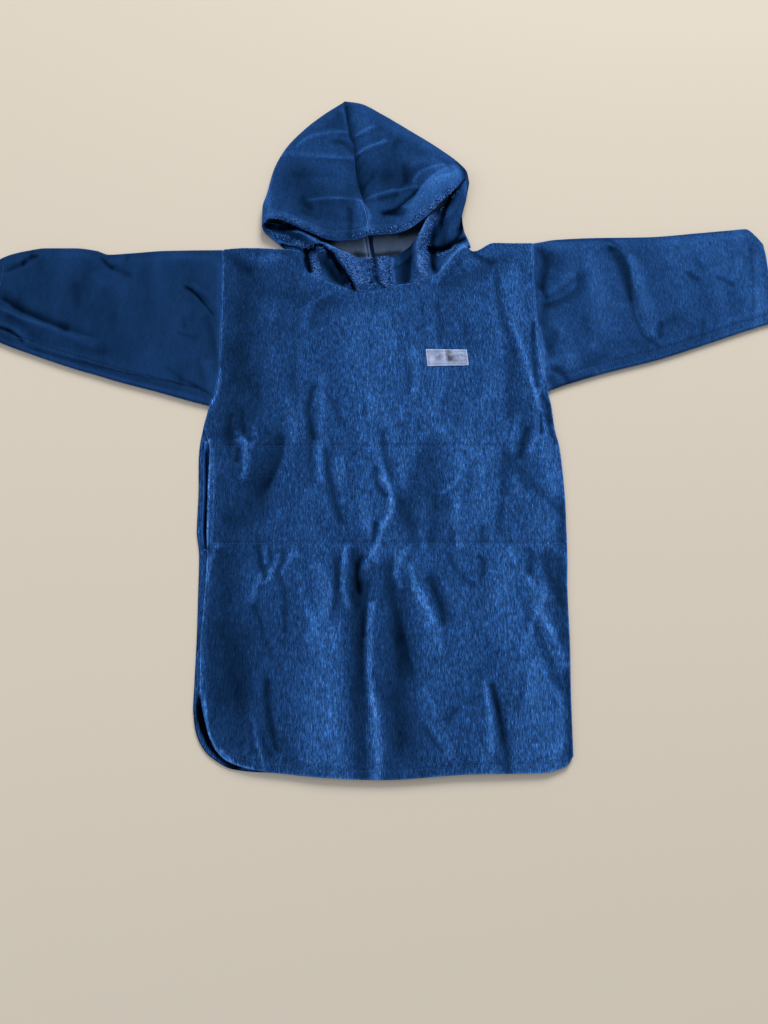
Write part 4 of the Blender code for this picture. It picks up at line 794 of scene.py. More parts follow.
def smooth(at_rows, values, at):
    """The monotone cubic curve through a table, which never swings past its values."""
    order = np.argsort(at_rows)
    at_rows = at_rows[order]
    values = values[order]
    step = np.diff(at_rows)
    slope = np.diff(values) / step
    tangent = np.zeros(len(at_rows))
    tangent[0] = slope[0]
    tangent[-1] = slope[-1]
    for i in range(1, len(at_rows) - 1):
        if slope[i - 1] * slope[i] > 0:
            tangent[i] = 2 / (1 / slope[i - 1] + 1 / slope[i])
    at = np.clip(at, at_rows[0], at_rows[-1])
    i = np.clip(np.searchsorted(at_rows, at, side="right") - 1, 0, len(step) - 1)
    t = (at - at_rows[i]) / step[i]
    start = (1 + 2 * t) * (1 - t) ** 2 * values[i] + t * (1 - t) ** 2 * step[i] * tangent[i]
    end = t * t * (3 - 2 * t) * values[i + 1] - t * t * (1 - t) * step[i] * tangent[i + 1]
    return start + end


def by_x(rows, name, x):
    """A column's value at X."""
    return smooth(column(rows, "x"), column(rows, name), x)


def side(name, y):
    """X of one of the body's side lines at Y."""
    return smooth(column(SIDES, "y"), column(SIDES, name), y)


def between_sides(left_name, y, share):
    """X at a share of the body's width at Y."""
    return side(left_name, y) * (1 - share) + side("right", y) * share


def length_of(rows):
    """The length of the straight lines between a table's rows."""
    return np.hypot(np.diff(column(rows, "x")), np.diff(column(rows, "y"))).sum()


def way_along(line):
    """How far along a line of places each of them lies."""
    return np.concatenate([[0], np.cumsum(np.linalg.norm(np.diff(line, axis=0), axis=1))])


def line_through(rows, names, share):
    """Places at the given shares of the length of the smooth line through a table's rows."""
    way = way_along(places(column(rows, "x"), column(rows, "y")))
    return places(*[smooth(way / way[-1], column(rows, name), share) for name in names])


def ease(share):
    """From 0 to 1 with a soft start and end."""
    share = np.clip(share, 0, 1)
    return share * share * (3 - 2 * share)


def eased(start, end, share):
    """From a start value to an end value, with a soft start and end."""
    return start + (end - start) * ease(share)


def settle(height, floor):
    """The height kept above a floor, rounding off softly just over it."""
    return floor + SOFTNESS * np.logaddexp(0, (height - floor) / SOFTNESS)


def noise(x, y, bumps):
    """Smooth unevenness between -1 and 1."""
    size = NOISE_SIZE
    values = np.random.default_rng(bumps.seed).uniform(-1, 1, (size, size))
    u = x / bumps.across + NOISE_START_X
    v = y / bumps.along + NOISE_START_Y + NOISE_SLANT * np.sin(u * NOISE_SLANT_RATE)
    i = np.floor(u).astype(int)
    j = np.floor(v).astype(int)
    s = ease(u - i)
    t = ease(v - j)
    low = values[i % size, j % size] * (1 - s) + values[(i + 1) % size, j % size] * s
    high = values[i % size, (j + 1) % size] * (1 - s) + values[(i + 1) % size, (j + 1) % size] * s
    return low * (1 - t) + high * t


def noise_along(way, size, seed):
    """Smooth unevenness between -1 and 1 along a line, with bumps of the given size."""
    return noise(way, np.zeros(np.shape(way)), Bumps(size, 1, seed))


Near = namedtuple("Near", "chosen aside past share")


def near_line(row, x, y, reach):
    """The places near a row's curved line: how far to its left, how far past its ends, and where along it."""
    start = np.array([row.x0, row.y0])
    middle = np.array([row.x1, row.y1])
    end = np.array([row.x2, row.y2])
    pull = 2 * middle - (start + end) / 2
    t = np.linspace(0, 1, LINE_STEPS)
    line = np.outer((1 - t) ** 2, start) + np.outer(2 * t * (1 - t), pull) + np.outer(t * t, end)
    way = unit(np.outer(1 - t, pull - start) + np.outer(t, end - pull))
    low = line.min(axis=0) - reach
    high = line.max(axis=0) + reach
    chosen = (x > low[0]) & (x < high[0]) & (y > low[1]) & (y < high[1])
    away = places(x[chosen], y[chosen])[:, None] - line
    nearest = (away**2).sum(axis=-1).argmin(axis=1)
    away = away[np.arange(len(nearest)), nearest]
    way = way[nearest]
    aside = way[:, 0] * away[:, 1] - way[:, 1] * away[:, 0]
    ahead = way[:, 0] * away[:, 0] + way[:, 1] * away[:, 1]
    past = np.where(nearest == 0, np.maximum(-ahead, 0), 0)
    past += np.where(nearest == LINE_STEPS - 1, np.maximum(ahead, 0), 0)
    share = np.clip(t[nearest] + ahead / way_along(line)[-1], 0, 1)
    return Near(chosen, aside, past, share)


def relief(folds, x, y):
    """The height that folds add at each place: a crease along each line, fading sideways and at its ends."""
    height = np.zeros(np.shape(x))
    x = x + WANDER * noise(x, y, WANDER_ACROSS) + FINE_WANDER * noise(x, y, FINE_WANDER_ACROSS)
    y = y + WANDER * noise(x, y, WANDER_ALONG)
    for fold in folds:
        near = near_line(fold, x, y, max(fold.left, fold.right))
        width = np.where(near.aside > 0, fold.left, fold.right)
        fade = np.sin(np.pi * near.share) ** FOLD_FADE
        width = width * (FOLD_END_WIDTH + (1 - FOLD_END_WIDTH) * fade)
        share = np.clip(np.hypot(near.aside, near.past) / width, 0, 1)
        crisp = (np.hypot(share, CREST) - CREST) / (np.hypot(1, CREST) - CREST)
        height[near.chosen] += FOLD_SHARE * fold.height * (1 - crisp) ** 2 * fade
    return height


def shade_share(tone):
    """How strongly a tone's painted light and shade show."""
    return TONE_SHARE * tone.amount * (1 + CRISP_SHARE * np.exp(-min(tone.left, tone.right) / CRISP_WIDTH))


def opening_share(tone):
    """How strongly an unlit gap shows."""
    return tone.amount


def swell_share(tone):
    """How high the ridge that goes with a tone is, or how deep its crease."""
    width = min(tone.left, tone.right, SWELL_WIDTH)
    return SWELL_SHARE * np.clip(tone.amount, -SWELL_AMOUNT, SWELL_AMOUNT) * width


def tone_sum(tones, x, y, share):
    """What the tones add up to at each place, each with a share of its own."""
    total = np.zeros(np.shape(x))
    x = x + TONE_WANDER * noise(x, y, TONE_WANDER_ACROSS)
    y = y + TONE_WANDER * noise(x, y, TONE_WANDER_ALONG)
    ragged = 1 + TONE_RAGGED * noise(x, y, TONE_RAGGED_BUMPS)
    for tone in tones:
        near = near_line(tone, x, y, TONE_REACH * max(tone.left, tone.right))
        width = np.where(near.aside > 0, tone.left, tone.right) * ragged[near.chosen]
        end = (tone.left + tone.right) / 2
        total[near.chosen] += share(tone) * np.exp(-((near.aside / width) ** 2) - (near.past / end) ** 2)
    return total


def swell_of(tones, x, y):
    """The height of the low ridges and creases that go with the tones."""
    return tone_sum(tones, x, y, swell_share)


def held_painted_shade(shade):
    """Painted shade and highlight held within limits, however many tones lie over each other."""
    darker = PAINTED_SHADE_DEPTH * np.expm1(np.minimum(shade, 0) / PAINTED_SHADE_DEPTH)
    lighter = PAINTED_HIGHLIGHT_LIFT * np.expm1(-np.maximum(shade, 0) / PAINTED_HIGHLIGHT_LIFT)
    return darker - lighter


def tone_on(surface, tones):
    """How much lighter or darker the cloth is painted: painted highlight and shade, and black in unlit gaps.
    """
    x, y = surface[..., 0], surface[..., 1]
    painted_shading = [tone for tone in tones if tone.amount > OPENING]
    openings = [tone for tone in tones if tone.amount <= OPENING]
    return held_painted_shade(tone_sum(painted_shading, x, y, shade_share)) + tone_sum(openings, x, y, opening_share)


def coons(first_row, last_row, first_column, last_column):
    """A surface that fills four edge lines: rows run from first_row to last_row."""
    s = np.linspace(0, 1, len(first_column))[:, None, None]
    t = np.linspace(0, 1, len(first_row))[None, :, None]
    between_rows = (1 - s) * first_row[None] + s * last_row[None]
    between_columns = (1 - t) * first_column[:, None] + t * last_column[:, None]
    corners = (1 - s) * ((1 - t) * first_row[0] + t * first_row[-1])
    corners = corners + s * ((1 - t) * last_row[0] + t * last_row[-1])
    return between_rows + between_columns - corners


def count_of(length, step):
    """How many points divide a length into steps of about the given size."""
    return int(round(length / step)) + 1


# Meshes


def unit(vectors):
    """The vectors at a length of 1."""
    return vectors / np.maximum(np.linalg.norm(vectors, axis=-1, keepdims=True), NO_LENGTH)


def grid_faces(numbers):
    """Quads between the rows and columns of an array of point numbers."""
    return places(numbers[:-1, :-1], numbers[:-1, 1:], numbers[1:, 1:], numbers[1:, :-1]).reshape(-1, 4)


def panel_faces(surface):
    """Quads between the rows and columns of a surface."""
    return grid_faces(np.arange(surface[..., 0].size).reshape(surface.shape[:2]))


def merged(points, faces):
    """The same faces with points at one place made one, without the faces that this leaves no room."""
    rounded = np.round(points, PLACE_DECIMALS)
    _, first, number = np.unique(rounded, axis=0, return_index=True, return_inverse=True)
    faces = number.reshape(-1)[faces]
    corners = np.sort(faces, axis=1)
    distinct = 1 + (np.diff(corners, axis=1) > 0).sum(axis=1)
    return points[first], faces[distinct > 2], first


def normals(points, faces):
    """Each point's normal: the sum of those of the faces round it, by area."""
    ring = points[faces]
    across = np.cross(ring[:, 2] - ring[:, 0], ring[:, 3] - ring[:, 1])
    total = np.zeros_like(points)
    for k in range(4):
        np.add.at(total, faces[:, k], across)
    return unit(total)


def edges_of(faces):
    """The directed edges round the faces."""
    edges = places(faces.reshape(-1), np.roll(faces, -1, axis=1).reshape(-1))
    return edges[edges[:, 0] != edges[:, 1]]


def links_of(faces):
    """The pairs of neighbouring points."""
    return np.unique(np.sort(edges_of(faces), axis=1), axis=0)


def rim_of(faces):
    """The directed edges that only one face has."""
    edges = edges_of(faces)
    size = edges.max() + 1
    key = edges[:, 0] * size + edges[:, 1]
    back = edges[:, 1] * size + edges[:, 0]
    return edges[~np.isin(key, back)]


def blurred(values, links, passes):
    """Values averaged with their neighbours' again and again."""
    count = len(values)
    both = np.concatenate([links, links[:, ::-1]])
    degree = np.bincount(both[:, 0], minlength=count)[:, None] + 1
    for _ in range(passes):
        total = values.copy()
        for k in range(values.shape[1]):
            total[:, k] += np.bincount(both[:, 0], weights=values[both[:, 1], k], minlength=count)
        values = total / degree
    return values


def away_from(points, rim, outward):
    """The way out of the cloth at each point of its rim, along its surface."""
    along = unit(points[rim[:, 1]] - points[rim[:, 0]])
    away = np.zeros_like(points)
    for k in range(2):
        np.add.at(away, rim[:, k], np.cross(along, outward[rim[:, k]]))
    return unit(away)


def near_rim(points, faces, links, on_rim, depth):
    """The faces within a depth of the rim, measured along the cloth."""
    reach = np.full(len(points), np.inf)
    reach[on_rim] = 0
    lengths = np.linalg.norm(points[links[:, 0]] - points[links[:, 1]], axis=1)
    for _ in range(int(2 * depth / lengths.mean())):
        np.minimum.at(reach, links[:, 0], reach[links[:, 1]] + lengths)
        np.minimum.at(reach, links[:, 1], reach[links[:, 0]] + lengths)
    return faces[(reach[faces] < depth).all(axis=1)]


def edge_strips(rim, on_rim, count):
    """Quads from the outer face's rim, round the edge, to the inner face's rim."""
    place_on_rim = np.full(count, -1)
    place_on_rim[on_rim] = np.arange(len(on_rim))
    rings = [rim]
    for k in range(EDGE_STEPS):
        rings.append(count + k * len(on_rim) + place_on_rim[rim])
    rings.append(count + EDGE_STEPS * len(on_rim) + rim)
    strips = []
    for ring, following in zip(rings, rings[1:]):
        strips.append(places(ring[:, 1], ring[:, 0], following[:, 0], following[:, 1]))
    return strips


Cloth = namedtuple("Cloth", "points faces is_inside tone")


def turned(points, faces, tone, wall, depth=None):
    """A cloth with a wall: its outer face, a rounded edge, and its inner face, whole or as deep as a hem."""
    points, faces, first = merged(points, faces)
    rim = rim_of(faces)
    on_rim = np.unique(rim)
    tone = tone[first]
    # A painted highlight along the cloth's edges
    tone[on_rim] += PAINTED_EDGE_HIGHLIGHT
    count = len(points)
    links = links_of(faces)
    outward = normals(points, faces)
    inward = -unit(blurred(outward, links, INWARD_PASSES))
    away = away_from(points, rim, outward)
    half = wall / 2
    points[on_rim] -= half * away[on_rim]
    inner = points + wall * inward
    kept = faces
    if depth is not None:
        kept = near_rim(points, faces, links, on_rim, depth)
    rounds = []
    middle = (points + inner) / 2
    for turn in np.linspace(0, np.pi, EDGE_STEPS + 2)[1:-1]:
        rounds.append((middle - half * inward * np.cos(turn) + half * away * np.sin(turn))[on_rim])
    all_points = np.concatenate([points] + rounds + [inner])
    all_points[:, 2] = np.maximum(all_points[:, 2], 0)
    all_tones = np.concatenate([tone] + [tone[on_rim]] * EDGE_STEPS + [tone])
    inside = kept[:, ::-1] + count + EDGE_STEPS * len(on_rim)
    everything = np.concatenate([faces] + edge_strips(rim, on_rim, count) + [inside])
    is_inside = np.arange(len(everything)) >= len(everything) - len(inside)
    used = np.unique(everything)
    renumber = np.full(len(all_points), -1)
    renumber[used] = np.arange(len(used))
    return Cloth(all_points[used], renumber[everything], is_inside, all_tones[used])


def panel(surface, tone, wall, depth=None):
    """A cloth from one grid of places."""
    return turned(surface.reshape(-1, 3), panel_faces(surface), tone.ravel(), wall, depth)


def painted_fold_shade(points, faces):
    """Painted highlight on ridges and edges and painted shade in creases and hollows, from the shape; 0.5 on
    level cloth.
    """
    links = links_of(faces)
    near = blurred(points, links, NEAR_PASSES)
    wide = blurred(near, links, WIDE_PASSES)
    outward = unit(blurred(normals(points, faces), links, OUTWARD_PASSES))
    shade = NEAR_GAIN * ((points - near) * outward).sum(axis=1)
    shade += WIDE_GAIN * ((near - wide) * outward).sum(axis=1)
    return LEVEL_SHADE + np.clip(shade, -HEIGHT_SHADE, HEIGHT_SHADE)


def corner_lists(faces):
    """Each face's corners, without those that repeat their neighbour."""
    return [[k for i, k in enumerate(face) if k != face[i - 1]] for face in faces.tolist()]


def linked(name, data):
    """A new object in the scene."""
    piece = bpy.data.objects.new(name, data)
    bpy.context.scene.collection.objects.link(piece)
    return piece


def mesh_piece(name, points, faces, shade, materials):
    """An object in metres from points in millimetres, with its painted shade and highlight and its nap's tone
    as a point attribute.
    """
    mesh = bpy.data.meshes.new(name)
    mesh.from_pydata((points * MM).tolist(), [], faces)
    for material in materials:
        mesh.materials.append(material)
    # The nap attribute carries painted light and shade as well as the nap's own tone
    nap = mesh.attributes.new("nap", "FLOAT", "POINT")
    nap.data.foreach_set("value", np.clip(shade, 0, 1).astype(np.float32))
    mesh.shade_smooth()
    mesh.update()
    return linked(name, mesh)


def cloth_piece(name, cloth, *materials):
    """An object from a cloth, with one material, or with one outside and one inside."""
    # Painted shade in creases and hollows and painted highlight on ridges, added to the tones' painted light
    # and shade
    shade = painted_fold_shade(cloth.points, cloth.faces) + cloth.tone
    piece = mesh_piece(name, cloth.points, corner_lists(cloth.faces), shade, materials)
    if len(materials) > 1:
        piece.data.polygons.foreach_set("material_index", cloth.is_inside.astype(np.int32))
    return piece


# Front, back, pocket and label

# The cloth's own unevenness, its seed on the body, and what is added to a seed for the puckers
Ripple = namedtuple("Ripple", "across along height")
BODY_RIPPLES = table(Ripple, (
    (90, 120, 1.10), (40, 90, 0.50), (17, 38, 0.24), (8, 15, 0.11), (5, 8, 0.07),
))
SLEEVE_RIPPLES = table(Ripple, ((60, 44, 0.45), (24, 20, 0.18), (9, 11, 0.07)))
HOOD_RIPPLES = table(Ripple, ((44, 40, 0.60), (17, 20, 0.25), (8, 11, 0.13), (4.4, 7, 0.08)))
BODY_SEED = 11
BODY_PUCKER_SEED = 31
PUCKER_SEED = 7

# Sewn lines: how deep the thread pulls and how far beside it that shows
Groove = namedtuple("Groove", "depth half_width")
HEM_GROOVE = Groove(0.3, 2.6)
POCKET_GROOVE = Groove(0.8, 4.5)
STRIP_GROOVE = Groove(0.6, 2.8)
CENTRE_SEAM_GROOVE = Groove(0.9, 4.0)

# How far from the edge the front is sewn, and where its sides pucker
HEM_LINE = 9.0
SIDE_PUCKER_LINE = 4.0

# How the cloth puckers beside a sewn line, and how strongly beside each kind of line
PUCKER_PITCH = 6.5
PUCKER_HEIGHT = 0.35
PUCKER_REACH = 9.0
EDGE_PUCKERS = 0.5
CUFF_PUCKERS = 0.6
SEAM_PUCKERS = 0.8
HOOD_PUCKERS = 1.5


def ripples(ripple_table, x, y, seed):
    """The height of the cloth's own unevenness at each place."""
    height = np.zeros(np.shape(x))
    for number, ripple in enumerate(ripple_table):
        height += ripple.height * noise(x, y, Bumps(ripple.across, ripple.along, seed + number))
    return height


def grooved(distance, groove):
    """The height that is lost beside a sewn line."""
    return -groove.depth * ease(1 - np.abs(distance) / groove.half_width)


def puckers(along, distance, seed):
    """The gathers that a seam draws up in the cloth beside it."""
    height = PUCKER_HEIGHT * noise_along(along, PUCKER_PITCH, seed)
    return height * np.exp(-((distance / PUCKER_REACH) ** 2))


def front_levels():
    """Levels of the front's rows: 0 at the hem, 1 and 2 on the pocket's lines, 3 at neck and shoulders."""
    low = np.linspace(0, 1, count_of(POCKET_LOW - column(FRONT_HEM, "y").min(), BODY_STEP))
    middle = np.linspace(1, 2, count_of(POCKET_HIGH - POCKET_LOW, BODY_STEP))
    high = np.linspace(2, 3, count_of(column(FRONT_TOP, "y").max() - POCKET_HIGH, BODY_STEP))
    return np.concatenate([low, middle[1:], high[1:]])


def front_shares():
    """Shares of the width at the front's columns."""
    width = side("right", SHOULDER_Y) - side("front_left", SHOULDER_Y)
    return np.linspace(0, 1, count_of(width, BODY_STEP))


Plan = namedtuple("Plan", "x y from_left from_right from_hem from_top hem_top neck_top")


def front_plan(share, level):
    """X and Y on the front at a share of its width and a level of its height."""
    hem_x = between_sides("front_left", HEM_Y, share)
    top_x = between_sides("front_left", SHOULDER_Y, share)
    hem_y = by_x(FRONT_HEM, "y", hem_x)
    top_y = by_x(FRONT_TOP, "y", top_x)
    below = hem_y + (POCKET_LOW - hem_y) * level
    within = POCKET_LOW + (POCKET_HIGH - POCKET_LOW) * (level - 1)
    above = POCKET_HIGH + (top_y - POCKET_HIGH) * (level - 2)
    y = np.where(level < 1, below, np.where(level < 2, within, above))
    left = side("front_left", y)
    right = side("right", y)
    x = left * (1 - share) + right * share
    hem_top = by_x(FRONT_HEM, "top", hem_x)
    neck_top = by_x(FRONT_TOP, "top", top_x)
    return Plan(x, y, x - left, right - x, y - hem_y, top_y - y, hem_top, neck_top)


def pocket_zone(y):
    """1 where the pocket bag lies under the front, 0 away from it."""
    reach = POCKET_ALLOWANCE + POCKET_RISE / 2
    return ease((y - POCKET_LOW + reach) / POCKET_RISE) * ease((POCKET_HIGH + reach - y) / POCKET_RISE)


def front_height(plan):
    """The height of the front's upper face."""
    x, y = plan.x, plan.y
    pocket = pocket_zone(y)
    height = MIDDLE_TOP + relief(BODY_FOLDS, x, y) + swell_of(BODY_TONES, x, y)
    height += ripples(BODY_RIPPLES, x, y, BODY_SEED)
    for number, line in enumerate((POCKET_LOW, POCKET_HIGH)):
        height += grooved(y - line, POCKET_GROOVE) + puckers(x, y - line, BODY_PUCKER_SEED + number)
    height = eased(plan.hem_top, height, plan.from_hem / HEM_FALL)
    height = eased(plan.neck_top, height, plan.from_top / TOP_FALL)
    edge = eased(LOWEST_TOP, ARMHOLE_TOP, (y - ARMHOLE_FROM_Y) / ARMHOLE_RISE)
    left_edge = edge + (POCKET_EDGE_TOP - LOWEST_TOP) * pocket
    height = eased(left_edge, height, plan.from_left / SIDE_FALL)
    height = eased(edge, height, plan.from_right / SIDE_FALL)
    on_side = grooved(plan.from_left - HEM_LINE, HEM_GROOVE)
    height += grooved(plan.from_hem - HEM_LINE, HEM_GROOVE)
    height += on_side * ease((ARMHOLE_FROM_Y - y) / ARMHOLE_RISE)
    from_side = np.minimum(plan.from_left, plan.from_right)
    height += EDGE_PUCKERS * puckers(x, plan.from_hem - HEM_LINE, BODY_PUCKER_SEED + 2)
    height += EDGE_PUCKERS * puckers(y, from_side - SIDE_PUCKER_LINE, BODY_PUCKER_SEED + 3)
    height += SEAM_PUCKERS * puckers(x, plan.from_top, BODY_PUCKER_SEED + 4)
    over_pocket = np.where(plan.from_right < POCKET_RIGHT_ROOM, 0, pocket)
    return settle(height, LOWEST_TOP + (POCKET_LOWEST_TOP - LOWEST_TOP) * over_pocket)


def front_surface(shares, levels):
    """The front's upper face: a row for each level and a column for each share of the width."""
    level, share = np.meshgrid(levels, shares, indexing="ij")
    plan = front_plan(share, level)
    return places(plan.x, plan.y, front_height(plan))


def back_surface():
    """The back's upper face, flat under the front, with its edges and its neckline."""
    rows = count_of(SHOULDER_Y - HEM_Y, BACK_STEP)
    columns = count_of(2 * column(SIDES, "right").max(), BACK_STEP)
    level = np.linspace(0, 1, rows) ** BACK_CROWDING
    share = np.linspace(0, 1, columns) ** BACK_CROWDING
    level, share = np.meshgrid(level, share, indexing="ij")
    hem_y = by_x(BACK_HEM, "y", between_sides("back_left", HEM_Y, share))
    top_x = between_sides("back_left", SHOULDER_Y, share)
    on_neck = (top_x > NECK_SIDE_RIGHT) & (top_x < NECK_SIDE_LEFT)
    top_y = np.where(on_neck, by_x(BACK_NECK, "y", top_x), by_x(FRONT_TOP, "y", top_x))
    y = hem_y + (top_y - hem_y) * level
    x = between_sides("back_left", y, share)
    return places(x, y, np.full(x.shape, WALL))


def pocket_surface():
    """The pocket bag, flat between the back and the front, with a mouth at each side seam."""
    rows = count_of(POCKET_HIGH - POCKET_LOW + 2 * POCKET_ALLOWANCE, POCKET_STEP)
    y = np.linspace(POCKET_LOW - POCKET_ALLOWANCE, POCKET_HIGH + POCKET_ALLOWANCE, rows)
    columns = count_of(2 * column(SIDES, "right").max(), POCKET_STEP)
    y, share = np.meshgrid(y, np.linspace(0, 1, columns), indexing="ij")
    left = side("back_left", y) + POCKET_LEFT_INSET
    right = side("right", y) - POCKET_RIGHT_INSET
    x = left + (right - left) * share
    return places(x, y, np.full(x.shape, WALL + LAYER_GAP + POCKET_WALL))


def label_plan(s, t):
    """X and Y on the label at shares of its width and its height."""
    x = LABEL_LEFT + (LABEL_RIGHT - LABEL_LEFT) * s + LABEL_TURN * (0.5 - t)
    y = LABEL_LOW + (LABEL_HIGH - LABEL_LOW) * t + LABEL_RISE * s * (1 - t)
    return x, y


def label_surface(on_front):
    """The label's upper face, lying on the front."""
    s = np.linspace(0, 1, count_of(LABEL_RIGHT - LABEL_LEFT, LABEL_STEP))
    t = np.linspace(0, 1, count_of(LABEL_HIGH - LABEL_LOW, LABEL_STEP))
    t, s = np.meshgrid(t, s, indexing="ij")
    x, y = label_plan(s, t)
    height = dropped(on_front, x.ravel(), y.ravel())[0][:, 2].reshape(x.shape)
    return places(x, y, height + LABEL_WALL + SEAM_GAP)


# Sleeves

RIM_STEPS = 10

# How often X is worked out again, because the armhole's X depends on Y and the other way round
SLEEVE_ROUNDS = 4

# A sleeve's tables, its side line on the body, how far up the line along its lower edge is sewn, its seed,
# and how much lighter or darker its whole cloth is painted
SleeveKind = namedtuple("SleeveKind", "rows folds tones side_name strip seed level")
# The right sleeve is painted darker as a whole: painted shade, as it lies in less light, partly also its nap
# lying another way
RIGHT_SLEEVE_KIND = SleeveKind(
    RIGHT_SLEEVE, RIGHT_SLEEVE_FOLDS, RIGHT_SLEEVE_TONES, "front_left", 12.0, 91, -0.22
)
LEFT_SLEEVE_KIND = SleeveKind(LEFT_SLEEVE, LEFT_SLEEVE_FOLDS, LEFT_SLEEVE_TONES, "right", 8.5, 111, 0.0)

SleeveRing = namedtuple("SleeveRing", "across turn is_floor is_upper")


def sleeve_ring(top_steps):
    """Steps round a sleeve: across the top, round the lower edge, back on the floor, round the upper edge."""
    top = np.linspace(0, 1, top_steps)
    rim = np.linspace(0, 1, RIM_STEPS + 1)[1:-1]
    floor = np.linspace(1, 0, top_steps // 2)
    across = np.concatenate([top, np.ones(len(rim)), floor, np.zeros(len(rim))])
    turn = np.concatenate([np.zeros(len(top)), np.pi * rim, np.full(len(floor), np.pi), np.pi * (1 - rim)])
    part = np.repeat([0, 1, 2, 3], [len(top), len(rim), len(floor), len(rim)])
    return SleeveRing(across, turn, part == 2, part == 3)


def sleeve_top_height(sleeve, x, y, from_armhole, from_cuff):
    """The height of a sleeve's upper face."""
    height = SLEEVE_TOP + relief(sleeve.folds, x, y) + swell_of(sleeve.tones, x, y)
    height += ripples(SLEEVE_RIPPLES, x, y, sleeve.seed)
    from_upper = by_x(sleeve.rows, "upper", x) - RIM - y
    from_lower = y - (by_x(sleeve.rows, "lower", x) + RIM)
    height = eased(CUFF_TOP, height, from_cuff / CUFF_FALL)
    height += CUFF_HEM_RISE * ease((CUFF_HEM - from_cuff) / CUFF_HEM_STEP)
    height = eased(ARMHOLE_TOP, height, from_armhole / ARMHOLE_FALL)
    height = eased(SLEEVE_EDGE_TOP, height, from_upper / SLEEVE_EDGE_FALL)
    height = eased(SLEEVE_EDGE_TOP, height, from_lower / SLEEVE_EDGE_FALL)
    height += grooved(from_lower - sleeve.strip, STRIP_GROOVE) + grooved(from_cuff - CUFF_HEM, HEM_GROOVE)
    seed = sleeve.seed + PUCKER_SEED
    height += CUFF_PUCKERS * puckers(x, from_lower - sleeve.strip, seed)
    height += CUFF_PUCKERS * puckers(y, from_cuff - CUFF_HEM, seed + 1)
    height += SEAM_PUCKERS * puckers(y, from_armhole, seed + 2)
    return settle(height, SLEEVE_LOWEST_TOP)


def sleeve_surface(sleeve):
    """Rings of a flattened tube, from the armhole seam out to the cuff."""
    rows = sleeve.rows
    cuff_x = rows[-1].x
    widest = (column(rows, "upper") - column(rows, "lower")).max()
    ring = sleeve_ring(count_of(widest, SLEEVE_STEP))
    share = np.linspace(0, 1, count_of(abs(cuff_x) - abs(rows[0].x), SLEEVE_STEP))[:, None]
    away = RIM * np.sin(ring.turn) * np.where(ring.is_upper, 1, -1)
    x = np.full((len(share), len(away)), float(cuff_x))
    for _ in range(SLEEVE_ROUNDS):
        upper = by_x(rows, "upper", x) - RIM
        lower = by_x(rows, "lower", x) + RIM
        y = upper + (lower - upper) * ring.across + away
        armhole = side(sleeve.side_name, y) + np.sign(cuff_x) * SEAM_GAP
        x = armhole + (cuff_x - armhole) * share
    height = sleeve_top_height(sleeve, x, y - away, np.abs(x - armhole), np.abs(cuff_x - x))
    height = np.where(ring.is_floor, 0, height / 2 * (1 + np.cos(ring.turn)))
    return places(x, y, height)


def sleeve_cloth(sleeve):
    """A sleeve as a cloth, open at the armhole and the cuff."""
    surface = sleeve_surface(sleeve)
    numbers = np.arange(surface[..., 0].size).reshape(surface.shape[:2])
    faces = grid_faces(np.column_stack([numbers, numbers[:, 0]]))
    if sleeve.rows[-1].x < 0:
        faces = faces[:, ::-1]
    tone = sleeve.level + tone_on(surface, sleeve.tones)
    return turned(surface.reshape(-1, 3), faces, tone.ravel(), WALL, CUFF_DEPTH)


# Hood

HOOD_ROWS_BELOW_MOUTH = 44
HOOD_ARC_STEPS = 12

# Over how many rows the way inwards turns to the line of the peak's or the neck's end
FOLD_END_ROWS = 6

BRIM_CORNER = 0.12
BRIM_BAND = 15.0
BRIM_BAND_RISE = 0.6
BRIM_BAND_STEP = 3.0
BRIM_EDGE_ROLL = 5.0
BRIM_EDGE_DROP = 0.8
SEAM_PUCKER_LINE = 3.0
SEAM_PUCKER_RISE = 0.1
CHEEK_HEIGHT = 60.0
HOOD_LEVEL = -0.09
CHEEK_SEED = 10


def hood_fold(above, below):
    """The fold at a half's side: its outermost line, the height of the layer above, and the way inwards."""
    mouth_row = count_of(length_of(above), HOOD_STEP) - 1
    upper = line_through(above, ("x", "y", "top"), np.linspace(0, 1, mouth_row + 1))
    lower = line_through(below, ("x", "y", "top"), np.linspace(0, 1, HOOD_ROWS_BELOW_MOUTH + 1))[1:]
    fold = np.vstack([upper, lower])
    way = unit(np.gradient(fold[:, :2], axis=0))
    turned_in = np.sign(NECK_CENTRE - fold[len(fold) // 2, 0])
    inward = places(-way[:, 1], way[:, 0]) * turned_in
    ends = np.linspace(1, 0, FOLD_END_ROWS)[:, None]
    first = slice(None, FOLD_END_ROWS)
    last = slice(-FOLD_END_ROWS, None)
    inward[first] = (1 - ends) * inward[first] + ends * np.array([0, -1])
    inward[last] = (1 - ends[::-1]) * inward[last] + ends[::-1] * np.array([turned_in, 0])
    return fold, unit(inward), mouth_row


def hood_arc(fold, inward):
    """The cloth that turns round the fold, from the floor layer up to the layer on top."""
    turn = np.linspace(-np.pi / 2, np.pi / 2, HOOD_ARC_STEPS + 1)
    half = fold[:, 2] / 2
    inset = np.minimum(half, HOOD_RIM)[:, None] * (1 - np.cos(turn))[None]
    plan = fold[:, None, :2] + inward[:, None, :] * inset[..., None]
    height = half[:, None] * (1 + np.sin(turn))[None]
    return np.concatenate([plan, height[..., None]], axis=-1)


def brim_line(brim, start, end):
    """The brim's free edge, moved so that it starts and ends on its neighbours."""
    share = np.linspace(0, 1, count_of(length_of(brim), HOOD_STEP) + 1)
    line = line_through(brim, ("x", "y", "top"), share)
    line += np.outer(ease(1 - share / BRIM_CORNER), start - line[0])
    line += np.outer(ease(1 - (1 - share) / BRIM_CORNER), end - line[-1])
    return line


